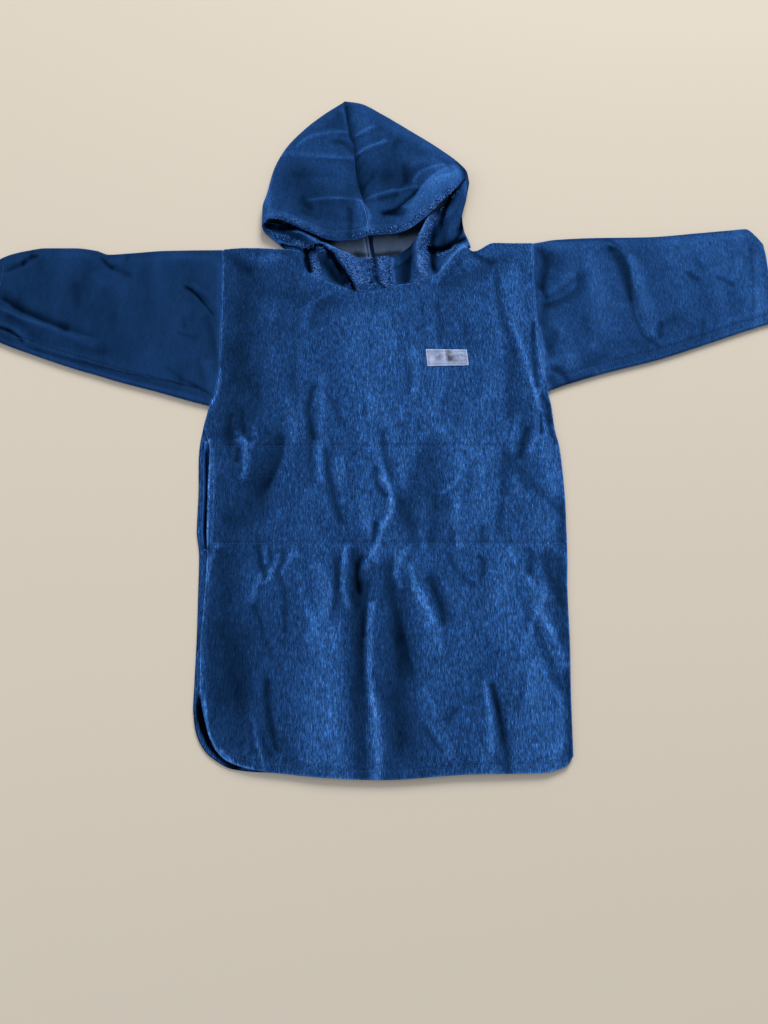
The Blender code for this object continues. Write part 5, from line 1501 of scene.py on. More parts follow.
def distance_along(surface, axis):
    """How far each point lies from the grid's last row (axis 0) or column (axis 1), along the grid."""
    steps = np.linalg.norm(np.diff(surface, axis=axis), axis=-1)
    back = np.flip(np.cumsum(np.flip(steps, axis), axis=axis), axis)
    return np.concatenate([back, np.zeros_like(np.take(back, [0], axis=axis))], axis=axis)


def fine_height(folds, tones, surface, seed):
    """The hood's own folds, swells and ripples at each place of a surface."""
    x, y = surface[..., 0], surface[..., 1]
    return relief(folds, x, y) + swell_of(tones, x, y) + ripples(HOOD_RIPPLES, x, y, seed)


def hood_top(arc_end, seam, brim, seed):
    """The layer on top, from the fold to the centre seam and from the peak to the brim."""
    surface = coons(np.repeat(arc_end[:1], len(brim), axis=0), brim, arc_end, seam)
    s = np.linspace(0, 1, surface.shape[0])[:, None]
    t = np.linspace(0, 1, surface.shape[1])[None, :]
    from_brim = distance_along(surface, 0)
    from_seam = distance_along(surface, 1)
    x, y, height = np.moveaxis(surface, -1, 0)
    height = height + HOOD_CROWN * np.sqrt(np.sin(np.pi * s) * np.sin(np.pi * t))
    height += fine_height(HOOD_FOLDS, HOOD_TONES, surface, seed) * ease(t / FOLD_RISE) * ease(s / PEAK_RISE)
    height += grooved(from_seam, CENTRE_SEAM_GROOVE)
    gathers = HOOD_PUCKERS * puckers(y, from_seam - SEAM_PUCKER_LINE, seed + PUCKER_SEED)
    height += gathers * ease(s / SEAM_PUCKER_RISE)
    band = ease((BRIM_BAND - from_brim) / BRIM_BAND_STEP) * BRIM_BAND_RISE
    band += grooved(from_brim - BRIM_BAND, HEM_GROOVE)
    band += puckers(x, from_brim - BRIM_BAND, seed + PUCKER_SEED + 1)
    band -= BRIM_EDGE_DROP * ease(1 - from_brim / BRIM_EDGE_ROLL)
    height += band * ease(t / FOLD_RISE)
    surface[..., 2] = settle(height, HOOD_LOWEST_TOP)
    surface[:, 0] = arc_end
    return surface


def hood_cheek(arc_end, mouth, neck, seed):
    """The cheek, from the free edge of the face opening down to the neck seam."""
    neck = np.vstack([arc_end[-1], neck])
    share = way_along(neck[:, :2])
    share /= share[-1]
    along_mouth = share**MOUTH_LEAD
    edge = line_through(mouth, ("x", "y", "top"), along_mouth)
    edge += np.outer(ease(1 - share / BRIM_CORNER), arc_end[0] - edge[0])
    edge[-1, 0] = neck[-1, 0]
    crest, band = line_through(mouth, ("crest", "band"), along_mouth).T
    up = 1 - np.linspace(0, 1, len(arc_end))[:, None]
    surface = coons(edge, neck, arc_end, neck[-1] + up * (edge[-1] - neck[-1]))
    height = CHEEK_TOP + (neck[:, 2] - CHEEK_TOP) * (1 - ease(up / NECK_SEAM_FALL))
    height = height + (crest - CHEEK_TOP) * ease((up - band) / BAND_RISE)
    height = height - (crest - edge[:, 2]) * ease((up - BAND_CREST) / (1 - BAND_CREST))
    gathers = puckers(surface[..., 0], (up - band) * CHEEK_HEIGHT, seed + PUCKER_SEED)
    fine = fine_height(CHEEK_FOLDS, MOUTH_TONES, surface, seed)
    height = height + (fine + gathers) * ease(up / NECK_SEAM_RISE)
    height = eased(surface[..., 2], height, share / CHEEK_SIDE_RISE)
    surface[..., 2] = settle(height, HOOD_LOWEST_TOP)
    surface[:, 0] = arc_end
    surface[-1] = neck
    return surface


Half = namedtuple("Half", "fold_above fold_below brim cheek_edge neck_side seed mirrored")
RIGHT_HALF = Half(
    RIGHT_FOLD_ABOVE_MOUTH, RIGHT_FOLD_BELOW_MOUTH, RIGHT_BRIM, RIGHT_CHEEK_EDGE, NECK_SIDE_RIGHT, 51, False
)
LEFT_HALF = Half(
    LEFT_FOLD_ABOVE_MOUTH, LEFT_FOLD_BELOW_MOUTH, LEFT_BRIM, LEFT_CHEEK_EDGE, NECK_SIDE_LEFT, 71, True
)

HoodParts = namedtuple("HoodParts", "floor arc top cheek mouth_row")


def neck_front(half):
    """The front neckline's points, moved off the seam, from the neck's side to its centre."""
    shares = front_shares()
    top_edge = front_surface(shares, np.array([3.0]))[0]
    way = unit(np.gradient(top_edge[:, :2], axis=0))
    moved = top_edge.copy()
    moved[:, 0] -= way[:, 1] * SEAM_GAP
    moved[:, 1] += way[:, 0] * SEAM_GAP
    top_x = between_sides("front_left", SHOULDER_Y, shares)
    centre = np.abs(top_x - NECK_CENTRE).argmin()
    if half.mirrored:
        last = np.flatnonzero(top_x < NECK_SIDE_LEFT - NECK_SIDE_ROOM)[-1]
        row = moved[centre : last + 1][::-1].copy()
    else:
        first = np.flatnonzero(top_x > NECK_SIDE_RIGHT + NECK_SIDE_ROOM)[0]
        row = moved[first : centre + 1].copy()
    row[-1, 0] += SEAM_GAP / 2 * np.sign(half.neck_side - NECK_CENTRE)
    return row


def hood_parts(half):
    """The outer face of one half of the hood, as its parts' grids."""
    aside = np.sign(half.neck_side - NECK_CENTRE) * SEAM_GAP / 2
    fold, inward, mouth_row = hood_fold(half.fold_above, half.fold_below)
    fold[0, 0] += aside
    arc = hood_arc(fold, inward)
    seam = line_through(HOOD_SEAM, ("x", "y", "top"), np.linspace(0, 1, mouth_row + 1))
    seam[:, 0] += aside
    seam[0] = arc[0, -1]
    edge = brim_line(half.brim, arc[mouth_row, -1], seam[-1])
    top = hood_top(arc[: mouth_row + 1, -1], seam, edge, half.seed)
    cheek = hood_cheek(arc[mouth_row:, -1], half.cheek_edge, neck_front(half), half.seed + CHEEK_SEED)
    columns = count_of(abs(half.neck_side - NECK_CENTRE), HOOD_FLOOR_STEP)
    neck_x = half.neck_side + (NECK_CENTRE - half.neck_side) * np.linspace(1, 0, columns)
    neck = places(neck_x, by_x(BACK_NECK, "y", neck_x) + SEAM_GAP, np.zeros(columns))
    neck[0, 0] += aside
    neck[-1] = arc[-1, 0]
    down = np.linspace(0, 1, len(arc))[:, None]
    centre = arc[0, 0] + down * (neck[0] - arc[0, 0])
    floor = coons(np.repeat(arc[:1, 0], columns, axis=0), neck, centre, arc[:, 0])
    return HoodParts(floor, arc, top, cheek, mouth_row)


def hood_cloth(parts, mirrored):
    """One half of the hood as a cloth: its floor layer with the turned side, its top and its cheek."""
    is_above = np.arange(len(parts.arc))[:, None] <= parts.mouth_row
    above = tone_on(parts.arc, HOOD_TONES) + HOOD_LEVEL
    arc_tone = np.where(is_above, above, tone_on(parts.arc, MOUTH_TONES))
    grids = (
        np.concatenate([parts.floor, parts.arc[:, 1:]], axis=1),
        parts.top,
        parts.cheek,
    )
    tones = (
        np.concatenate([tone_on(parts.floor, INSIDE_TONES), arc_tone[:, 1:]], axis=1),
        tone_on(parts.top, HOOD_TONES) + HOOD_LEVEL,
        tone_on(parts.cheek, MOUTH_TONES),
    )
    faces = []
    first = 0
    for grid in grids:
        faces.append(first + panel_faces(grid))
        first += grid[..., 0].size
    faces = np.concatenate(faces)
    if not mirrored:
        faces = faces[:, ::-1]
    points = np.concatenate([grid.reshape(-1, 3) for grid in grids])
    return turned(points, faces, np.concatenate([tone.ravel() for tone in tones]), WALL)


# Sewing and terry loops

# Nothing reaches below this height, as the poncho lies on the floor, and rays start above everything
LOWEST = 0.2
RAY_START = 200.0

THREAD = 0.26
THREAD_SIDES = 5
STITCH = 3.0
STITCH_PITCH = 4.1
STITCH_RINGS = 5
STITCH_SINK = 0.3
STITCH_RISE = 0.2

# How close to its ends a stitch's thickness is taken, as it tapers to nothing there, and its shade's range
STITCH_TIP = 0.08
STITCH_DARK = 0.35
STITCH_LIGHT = 0.8

# A terry loop: its size and how that differs, its thread, its height, and how far it leans and reaches
# into the cloth
LOOP_RADIUS = 0.9
LOOP_SMALLEST = 0.75
LOOP_LARGEST = 1.35
LOOP_THREAD = 0.45
LOOP_HEIGHT = 1.3
LOOP_LEAN = 0.5
LOOP_FOOT = 0.15
LOOP_SIDES = 4
LOOP_RINGS = 5

# How the loops are spread: their room, how far they stray in it, and how much fewer they are at a pile's edge
LOOP_ROOM = 1.5
LOOP_STRAY = 0.6
LOOP_THINNING = 0.5

# The loops take the painted light and shade of the cloth under them: how much lighter than that cloth they
# look, and how much that differs
LOOP_LIFT = 0.24
LOOP_UNEVEN = 0.2

# Below this height the cloth lies in a hollow, and below this tone it is painted dark as shade; no loops show
# there
LOOP_LOWEST = 4.5
LOOP_HOLLOW = -0.4

# Where terry loops stand up: along a line, to a reach, and how many there are in each square of LOOP_ROOM
Pile = namedtuple("Pile", "x0 y0 x1 y1 reach share")


def tree_of(cloth):
    """What rays are cast on, to lay small things on a cloth."""
    return BVHTree.FromPolygons(cloth.points.tolist(), corner_lists(cloth.faces))


def dropped(tree, x, y):
    """Where things that fall at X and Y come to lie: the places, the normals and the faces there."""
    landed = []
    outward = []
    faces = []
    for place_x, place_y in zip(x, y):
        place, normal, face, _ = tree.ray_cast(Vector((place_x, place_y, RAY_START)), Vector((0, 0, -1)))
        if place is not None:
            landed.append(place[:])
            outward.append(normal[:])
            faces.append(face)
    return np.array(landed).reshape(-1, 3), unit(np.array(outward).reshape(-1, 3)), np.array(faces, int)


def tubes(centres, radii, sides):
    """Closed tubes round rows of centres (tube, ring, XYZ), each ring with its radius: points and faces."""
    count, rings = centres.shape[:2]
    way = unit(np.gradient(centres, axis=1))
    bend = centres[:, rings // 2] - (centres[:, 0] + centres[:, -1]) / 2
    bend[np.linalg.norm(bend, axis=1) < NO_BEND] = (0, 0, 1)
    side_way = unit(np.cross(way, unit(bend)[:, None, :]))
    up_way = np.cross(side_way, way)
    turn = (np.arange(sides) * 2 * np.pi / sides)[:, None]
    ring = np.cos(turn) * side_way[:, :, None, :] + np.sin(turn) * up_way[:, :, None, :]
    points = centres[:, :, None, :] + radii[None, :, None, None] * ring
    number = np.arange(count * rings * sides).reshape(count, rings, sides)
    after = np.roll(number, -1, axis=2)
    quads = places(number[:, :-1], after[:, :-1], after[:, 1:], number[:, 1:]).reshape(-1, 4)
    return points.reshape(-1, 3), quads.tolist() + number[:, 0, ::-1].tolist() + number[:, -1].tolist()


def tube_piece(name, centres, radii, sides, material, shade):
    """One object from many small tubes, with a shade for each tube."""
    points, faces = tubes(centres, radii, sides)
    points[:, 2] = np.maximum(points[:, 2], LOWEST)
    piece = mesh_piece(name, points, faces, np.repeat(shade, centres.shape[1] * sides), [material])
    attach(piece, "root")


def stitch_centres(line, tree):
    """Centre lines of the stitches along a line of X and Y, laid on a cloth."""
    way = way_along(line)
    starts = np.arange(STITCH_PITCH / 2, way[-1] - STITCH, STITCH_PITCH)
    share = np.linspace(0, 1, STITCH_RINGS)
    along = starts[:, None] + STITCH * share
    kept = []
    for x, y in zip(np.interp(along, way, line[:, 0]), np.interp(along, way, line[:, 1])):
        laid = dropped(tree, x, y)[0]
        if len(laid) == STITCH_RINGS:
            kept.append(laid)
    centres = np.array(kept)
    ends = (1 - share) * centres[:, :1, 2] + share * centres[:, -1:, 2]
    arch = STITCH_SINK - (STITCH_SINK + STITCH_RISE) * np.sin(np.pi * share)
    centres[..., 2] = np.maximum(centres[..., 2], ends) - arch
    return centres


def sew(name, lines, tree, material, seed):
    """Stitches along lines of X and Y, in one object."""
    centres = np.concatenate([stitch_centres(line, tree) for line in lines])
    radii = THREAD * np.sqrt(np.sin(np.pi * np.linspace(STITCH_TIP, 1 - STITCH_TIP, STITCH_RINGS)))
    shade = np.random.default_rng(seed).uniform(STITCH_DARK, STITCH_LIGHT, len(centres))
    tube_piece(name, centres, radii, THREAD_SIDES, material, shade)


def pile_places(piles, rng):
    """Uneven places for loops within the reach of each pile's line."""
    found = []
    for pile in piles:
        start = np.array([pile.x0, pile.y0])
        end = np.array([pile.x1, pile.y1])
        low = np.minimum(start, end) - pile.reach
        high = np.maximum(start, end) + pile.reach
        x, y = np.meshgrid(np.arange(low[0], high[0], LOOP_ROOM), np.arange(low[1], high[1], LOOP_ROOM))
        x = x.ravel() + rng.uniform(-LOOP_STRAY, LOOP_STRAY, x.size) * LOOP_ROOM
        y = y.ravel() + rng.uniform(-LOOP_STRAY, LOOP_STRAY, y.size) * LOOP_ROOM
        way = (end - start).astype(float)
        along = np.clip(((x - pile.x0) * way[0] + (y - pile.y0) * way[1]) / way.dot(way), 0, 1)
        distance = np.hypot(x - pile.x0 - along * way[0], y - pile.y0 - along * way[1])
        chance = pile.share * (1 - LOOP_THINNING * (distance / pile.reach) ** 2)
        kept = (distance < pile.reach) & (rng.uniform(0, 1, len(x)) < chance)
        found.append(places(x[kept], y[kept]))
    return np.concatenate(found)


def grow_loops(name, piles, cloth, tree, material, seed):
    """Terry loops: small arches of thread, each turned its own way, on the cloth below them."""
    rng = np.random.default_rng(seed)
    plan = pile_places(piles, rng)
    feet, outward, faces = dropped(tree, plan[:, 0], plan[:, 1])
    # Each loop takes the painted shade and highlight of the face it stands on
    tone = cloth.tone[cloth.faces[faces, 0]]
    shown = (tone > LOOP_HOLLOW) & (feet[:, 2] > LOOP_LOWEST)
    feet = feet[shown]
    outward = outward[shown]
    count = len(feet)
    heading = rng.uniform(0, 2 * np.pi, count)
    across = places(np.cos(heading), np.sin(heading), np.zeros(count))
    across = unit(across - (across * outward).sum(axis=1, keepdims=True) * outward)
    lean = unit(outward + LOOP_LEAN * rng.uniform(-1, 1, (count, 3)))
    size = LOOP_RADIUS * rng.uniform(LOOP_SMALLEST, LOOP_LARGEST, count)[:, None, None]
    turn = np.linspace(-LOOP_FOOT, np.pi + LOOP_FOOT, LOOP_RINGS)[None, :, None]
    arch = np.cos(turn) * across[:, None] + LOOP_HEIGHT * np.sin(turn) * lean[:, None]
    shade = LEVEL_SHADE + held_painted_shade(tone[shown] + LOOP_LIFT) + rng.normal(0, LOOP_UNEVEN, count)
    radii = np.full(LOOP_RINGS, LOOP_THREAD)
    tube_piece(name, feet[:, None] + size * arch, radii, LOOP_SIDES, material, shade)


def line_at(surface, away, distance):
    """The places on a grid's columns that lie a distance from its last row."""
    line = []
    for points, column_away in zip(np.swapaxes(surface, 0, 1), away.T):
        if column_away.max() > distance:
            line.append([np.interp(-distance, -column_away, points[:, k]) for k in range(2)])
    return np.array(line)


# Materials

# The colours that the painted light and shade run through: black for unlit gaps and shaded hollows, the nap's
# own blues, and a painted highlight for lit ridges; and its sheen
Nap = namedtuple("Nap", "colours sheen sheen_colour")
VELOUR = Nap(
    ((1, 3, 10), (16, 42, 76), (28, 63, 113), (47, 93, 156), (74, 124, 194)),
    0.3, (50, 110, 200),
)
LOOP = Nap(
    ((4, 12, 34), (22, 52, 98), (40, 86, 152), (66, 114, 184), (104, 150, 214)),
    0.3, (60, 120, 210),
)
TERRY = Nap(
    ((4, 6, 10), (56, 70, 92), (104, 124, 154), (146, 164, 190), (190, 202, 220)),
    0.2, (150, 160, 180),
)
POCKET_NAP = Nap(
    ((1, 3, 8), (8, 24, 54), (18, 50, 100), (38, 82, 150), (70, 116, 184)),
    0.25, (50, 100, 180),
)
NAP_PLACES = (0.0, 0.2, 0.5, 0.8, 1.0)
LABEL_COLOURS = ((50, 62, 96), (112, 114, 126), (140, 156, 194), (174, 190, 222), (206, 216, 236))
BLUE_THREAD = ((20, 44, 88), (70, 108, 168))
PALE_THREAD = ((120, 128, 144), (206, 212, 222))
THREAD_PLACES = (0.0, 1.0)
FLOOR_COLOUR = (206, 196, 180)

# The nap's streaks lie along Y: how many there are to a metre, across and along
STREAKS_ACROSS = 1050.0
STREAKS_ALONG = 150.0
STREAK_ROUGHNESS = 0.7

# Locks are bunches of streaks: how many to a metre, and how strong they are beside the streaks
LOCKS_ACROSS = 330.0
LOCKS_ALONG = 60.0
LOCK_SHARE = 0.3

# Bright flecks of pile: how many to a metre, and how the highest part of their noise is picked out
FLECKS_ACROSS = 950.0
FLECKS_ALONG = 330.0
FLECK_GAIN = 6.0
FLECK_START = -3.7

# Broad patches of lighter and darker nap
PATCHES_ACROSS = 30.0
PATCHES_ALONG = 12.0
PATCH_DETAIL = 3.0
PATCH_SHADE = 0.36

# How strongly the streaks show: hardly at all where shade is painted dark, and more where the cloth is
# painted light
STREAK_GAIN = 1.6
STREAK_START = 0.14

# The weave of the label and the twist of the thread
LABEL_WEAVE = 1500.0
WEAVE_SHADE = 0.4
TWIST = 1800.0
TWIST_SHADE = 0.5

NOISE_ROUGHNESS = 0.6
SHEEN_ROUGHNESS = 0.45

# How rough each kind of surface is, and how much it shines
Gloss = namedtuple("Gloss", "roughness specular")
NAP_GLOSS = Gloss(0.95, 0.0)
LABEL_GLOSS = Gloss(0.8, 0.25)
THREAD_GLOSS = Gloss(0.85, 0.2)
FLOOR_GLOSS = Gloss(0.8, 0.5)


def linear(red, green, blue):
    """Linear colour from an sRGB one with values up to 255."""
    parts = np.array([red, green, blue]) / 255
    parts = np.where(parts <= 0.04045, parts / 12.92, ((parts + 0.055) / 1.055) ** 2.4)
    return (*parts.tolist(), 1.0)


def new_material(name, gloss):
    """A material and its shader."""
    material = bpy.data.materials.new(name)
    material.use_nodes = True
    shader = material.node_tree.nodes["Principled BSDF"]
    shader.inputs["Roughness"].default_value = gloss.roughness
    shader.inputs["Specular IOR Level"].default_value = gloss.specular
    return material, shader


def add_node(material, kind, **settings):
    """A node with its settings."""
    node = material.node_tree.nodes.new(kind)
    for name, value in settings.items():
        setattr(node, name, value)
    return node


def worked_out(material, operation, *values, clamped=False):
    """What a Math node makes of values, each a number or what another node puts out."""
    node = add_node(material, "ShaderNodeMath", operation=operation, use_clamp=clamped)
    for socket, value in zip(node.inputs, values):
        if isinstance(value, float):
            socket.default_value = value
        else:
            material.node_tree.links.new(value, socket)
    return node.outputs["Value"]


def centred(material, value, size):
    """A value between 0 and 1 as one between minus and plus half of a size."""
    return worked_out(material, "MULTIPLY_ADD", value, size, -size / 2)


def point_shade(material):
    """The painted light and shade, with the nap's own tone, that a piece's points carry."""
    return add_node(material, "ShaderNodeAttribute", attribute_name="nap").outputs["Fac"]


def stretched_noise(material, across, along, detail=1.0, roughness=NOISE_ROUGHNESS):
    """Noise with so many bumps to a metre, across and along the cloth."""
    place = add_node(material, "ShaderNodeTexCoord")
    mapping = add_node(material, "ShaderNodeMapping")
    mapping.inputs["Scale"].default_value = (across, along, across)
    bumps = add_node(material, "ShaderNodeTexNoise")
    bumps.inputs["Scale"].default_value = 1.0
    bumps.inputs["Detail"].default_value = detail
    bumps.inputs["Roughness"].default_value = roughness
    material.node_tree.links.new(place.outputs["Object"], mapping.inputs["Vector"])
    material.node_tree.links.new(mapping.outputs["Vector"], bumps.inputs["Vector"])
    return bumps.outputs["Fac"]


def colour_ramp(material, value, colours, colour_places):
    """The colour at a value, between sRGB colours at their places from 0 to 1."""
    ramp = add_node(material, "ShaderNodeValToRGB")
    elements = ramp.color_ramp.elements
    elements[0].color = linear(*colours[0])
    elements[1].color = linear(*colours[-1])
    for place, colour in zip(colour_places[1:-1], colours[1:-1]):
        elements.new(place).color = linear(*colour)
    material.node_tree.links.new(value, ramp.inputs["Fac"])
    return ramp.outputs["Color"]


def add_bump(material, shader, height, distance):
    """Fine relief, as high as a distance in millimetres."""
    bump = add_node(material, "ShaderNodeBump")
    bump.inputs["Strength"].default_value = 1.0
    bump.inputs["Distance"].default_value = distance * MM
    material.node_tree.links.new(height, bump.inputs["Height"])
    material.node_tree.links.new(bump.outputs["Normal"], shader.inputs["Normal"])


def towelling(name, nap, streak, fleck, bump):
    """Brushed towelling coloured by its points' painted light and shade: streaks of pile with bright flecks,
    stronger where it is painted light, and a soft sheen.
    """
    material, shader = new_material(name, NAP_GLOSS)
    shade = point_shade(material)
    streaks = stretched_noise(material, STREAKS_ACROSS, STREAKS_ALONG, roughness=STREAK_ROUGHNESS)
    flecks = stretched_noise(material, FLECKS_ACROSS, FLECKS_ALONG, detail=0.0)
    patches = stretched_noise(material, PATCHES_ACROSS, PATCHES_ALONG, detail=PATCH_DETAIL)
    locks = stretched_noise(material, LOCKS_ACROSS, LOCKS_ALONG)
    level = worked_out(material, "ADD", centred(material, patches, PATCH_SHADE), shade)
    colour = colour_ramp(material, level, nap.colours, NAP_PLACES)
    locks = centred(material, locks, LOCK_SHARE * streak)
    uneven = worked_out(material, "ADD", centred(material, streaks, streak), locks)
    flecks = worked_out(material, "MULTIPLY_ADD", flecks, FLECK_GAIN, FLECK_START, clamped=True)
    uneven = worked_out(material, "MULTIPLY_ADD", flecks, fleck, uneven)
    strength = worked_out(material, "MULTIPLY_ADD", shade, STREAK_GAIN, STREAK_START, clamped=True)
    light = worked_out(material, "POWER", 2.0, worked_out(material, "MULTIPLY", uneven, strength))
    coloured = add_node(material, "ShaderNodeVectorMath", operation="SCALE")
    material.node_tree.links.new(colour, coloured.inputs[0])
    material.node_tree.links.new(light, coloured.inputs["Scale"])
    material.node_tree.links.new(coloured.outputs["Vector"], shader.inputs["Base Color"])
    add_bump(material, shader, streaks, bump)
    # The sheen is made weaker where shade is painted dark
    sheen = worked_out(material, "MULTIPLY", shade, nap.sheen)
    material.node_tree.links.new(sheen, shader.inputs["Sheen Weight"])
    shader.inputs["Sheen Roughness"].default_value = SHEEN_ROUGHNESS
    shader.inputs["Sheen Tint"].default_value = linear(*nap.sheen_colour)
    return material


def woven(name, colours, weave, bump):
    """A woven band: a fine even weave, with its shade from its points."""
    material, shader = new_material(name, LABEL_GLOSS)
    threads = stretched_noise(material, weave, weave / 2)
    level = worked_out(material, "ADD", centred(material, threads, WEAVE_SHADE), point_shade(material))
    colour = colour_ramp(material, level, colours, NAP_PLACES)
    material.node_tree.links.new(colour, shader.inputs["Base Color"])
    add_bump(material, shader, threads, bump)
    return material


def thread_material(name, colours):
    """Thread, twisted finely along its length, with a shade of its own for each stitch."""
    material, shader = new_material(name, THREAD_GLOSS)
    twist = stretched_noise(material, TWIST, TWIST)
    level = worked_out(material, "ADD", centred(material, twist, TWIST_SHADE), point_shade(material))
    colour = colour_ramp(material, level, colours, THREAD_PLACES)
    material.node_tree.links.new(colour, shader.inputs["Base Color"])
    return material


# The label's pale edge, how far in it starts to fade, and the painted shade in the groove of the thin sewn
# line inside it
LABEL_EDGE_LIGHT = 0.1
LABEL_EDGE = 0.9
LABEL_EDGE_FADE = 1.0
LABEL_LINE_DARK = 0.16
LABEL_LINE_PLACE = 2.4
LABEL_LINE_WIDTH = 0.8

# Where the label is worn dark or rubbed pale, at shares of its width and height
Mark = namedtuple("Mark", "s t reach_s reach_t amount")
LABEL_MARKS = table(Mark, (
    (0.24, 0.5, 0.07, 0.5, -0.22),
    (0.33, 0.45, 0.05, 0.3, -0.16),
    (0.44, 0.5, 0.025, 0.5, 0.3),
    (0.4, 0.2, 0.08, 0.16, 0.2),
    (0.54, 0.55, 0.07, 0.4, -0.42),
    (0.64, 0.45, 0.06, 0.3, -0.2),
    (0.84, 0.6, 0.14, 0.1, -0.22),
    (0.8, 0.3, 0.16, 0.08, -0.12),
    (0.8, 0.8, 0.16, 0.1, 0.14),
    (0.12, 0.3, 0.08, 0.3, 0.12),
))

# How uneven the marks are, and the label's own broad and fine unevenness
MARK_UNEVEN = 0.8
MARK_BUMPS = Bumps(5, 4, 61)
LABEL_BROAD = 0.1
LABEL_BROAD_BUMPS = Bumps(7, 5, 62)
LABEL_FINE = 0.09
LABEL_FINE_BUMPS = Bumps(2.2, 2.0, 63)


def label_shade(x, y):
    """The label's shade: a pale edge, painted shade in the groove of a thin sewn line inside it, and the
    marks of wear.
    """
    t, s = np.meshgrid(np.linspace(0, 1, x.shape[0]), np.linspace(0, 1, x.shape[1]), indexing="ij")
    from_side = np.minimum(s, 1 - s) * (LABEL_RIGHT - LABEL_LEFT)
    from_end = np.minimum(t, 1 - t) * (LABEL_HIGH - LABEL_LOW)
    inside = np.minimum(from_side, from_end)
    shade = LABEL_EDGE_LIGHT * ease(1 - (inside - LABEL_EDGE) / LABEL_EDGE_FADE)
    shade -= LABEL_LINE_DARK * np.exp(-(((inside - LABEL_LINE_PLACE) / LABEL_LINE_WIDTH) ** 2))
    uneven = 1 + MARK_UNEVEN * noise(x, y, MARK_BUMPS)
    for mark in LABEL_MARKS:
        distance = np.hypot((s - mark.s) / mark.reach_s, (t - mark.t) / mark.reach_t)
        shade += mark.amount * uneven * np.exp(-(distance**2))
    return shade + LABEL_BROAD * noise(x, y, LABEL_BROAD_BUMPS) + LABEL_FINE * noise(x, y, LABEL_FINE_BUMPS)


# Floor, lights and camera, in metres

FLOOR_HALF = 3.0
CAMERA_PLACE = (0.0036, -0.2661, 0.887)
CAMERA_TILT = np.radians(16.7)
CAMERA_LENS = 27.03
SKY_COLOUR = (0.92, 0.95, 1.0, 1)
SKY_STRENGTH = 0.5

Lamp = namedtuple("Lamp", "name place target size power colour")
LAMPS = table(Lamp, (
    ("window", (1.3, 4.7, 3.1), (0.0, 0.1, 0), 2.8, 330, (1.0, 0.98, 0.95)),
    ("fill", (-1.4, -0.2, 1.6), (0, 0, 0), 1.6, 6, (0.95, 0.97, 1.0)),
))


def make_floor():
    """A plain pale floor."""
    mesh = bpy.data.meshes.new("floor")
    half = FLOOR_HALF
    corners = [(-half, -half, 0), (half, -half, 0), (half, half, 0), (-half, half, 0)]
    mesh.from_pydata(corners, [], [(0, 1, 2, 3)])
    material, shader = new_material("floor", FLOOR_GLOSS)
    shader.inputs["Base Color"].default_value = linear(*FLOOR_COLOUR)
    mesh.materials.append(material)
    floor = linked("floor", mesh)


def make_sky():
    """Soft light from all round."""
    world = bpy.data.worlds.new("soft_sky")
    world.use_nodes = True
    sky = world.node_tree.nodes["Background"]
    sky.inputs["Color"].default_value = SKY_COLOUR
    sky.inputs["Strength"].default_value = SKY_STRENGTH
    bpy.context.scene.world = world


def make_light(lamp):
    """A soft round light that faces its target."""
    light = bpy.data.lights.new(lamp.name, "AREA")
    light.shape = "DISK"
    light.size = lamp.size
    light.energy = lamp.power
    light.color = lamp.colour
    holder = linked(lamp.name, light)
    holder.location = lamp.place
    aim = Vector(lamp.target) - Vector(lamp.place)
    holder.rotation_euler = aim.to_track_quat("-Z", "Y").to_euler()


def make_camera():
    """The camera at the photograph's viewing angle, and colours as they are."""
    data = bpy.data.cameras.new("camera")
    data.lens = CAMERA_LENS
    camera = linked("camera", data)
    camera.location = CAMERA_PLACE
    camera.rotation_euler = (CAMERA_TILT, 0, 0)
    bpy.context.scene.camera = camera
    bpy.context.scene.view_settings.view_transform = "Standard"


# The whole poncho


def add(piece, node):
    """A piece that shows instead of one of the solids."""
    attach(piece, "root")
    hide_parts(node)
    return piece


velour = towelling("velour", VELOUR, streak=5.1, fleck=0.84, bump=1.4)
hood_velour = towelling("hood_velour", VELOUR, streak=2.5, fleck=0.55, bump=1.0)
# The right sleeve's copy has weaker streaks and flecks: painted shade, as that sleeve lies in less light
shaded_right_sleeve_velour = towelling("shaded_right_sleeve_velour", VELOUR, streak=1.3, fleck=0.2, bump=0.7)
left_sleeve_velour = towelling("left_sleeve_velour", VELOUR, streak=3.0, fleck=0.6, bump=1.1)
terry = towelling("terry_inside", TERRY, streak=0.6, fleck=0.2, bump=0.9)
pocket_velour = towelling("pocket_cloth", POCKET_NAP, streak=0.9, fleck=0.3, bump=0.8)
label_weave = woven("label_weave", LABEL_COLOURS, LABEL_WEAVE, bump=0.3)
blue_thread = thread_material("blue_thread", BLUE_THREAD)
pale_thread = thread_material("pale_thread", PALE_THREAD)
loop_thread = towelling("loop_thread", LOOP, streak=1.2, fleck=0.4, bump=0.5)

front_upper = front_surface(front_shares(), front_levels())
front_cloth = panel(front_upper, tone_on(front_upper, BODY_TONES), WALL, HEM_DEPTH)
front = add(cloth_piece("front_cloth", front_cloth, velour), "front")
back_upper = back_surface()
back_cloth = panel(back_upper, tone_on(back_upper, BACK_TONES), WALL)
back = add(cloth_piece("back_cloth", back_cloth, velour), "back")
pocket_upper = pocket_surface()
pocket_cloth = panel(pocket_upper, tone_on(pocket_upper, POCKET_TONES), POCKET_WALL)
pocket = add(cloth_piece("pocket_bag", pocket_cloth, pocket_velour), "pocket")

right_cloth = sleeve_cloth(RIGHT_SLEEVE_KIND)
left_cloth = sleeve_cloth(LEFT_SLEEVE_KIND)
sleeve_right = cloth_piece("sleeve_right_cloth", right_cloth, shaded_right_sleeve_velour, terry)
sleeve_left = cloth_piece("sleeve_left_cloth", left_cloth, left_sleeve_velour, terry)
add(sleeve_right, "sleeve_right")
add(sleeve_left, "sleeve_left")

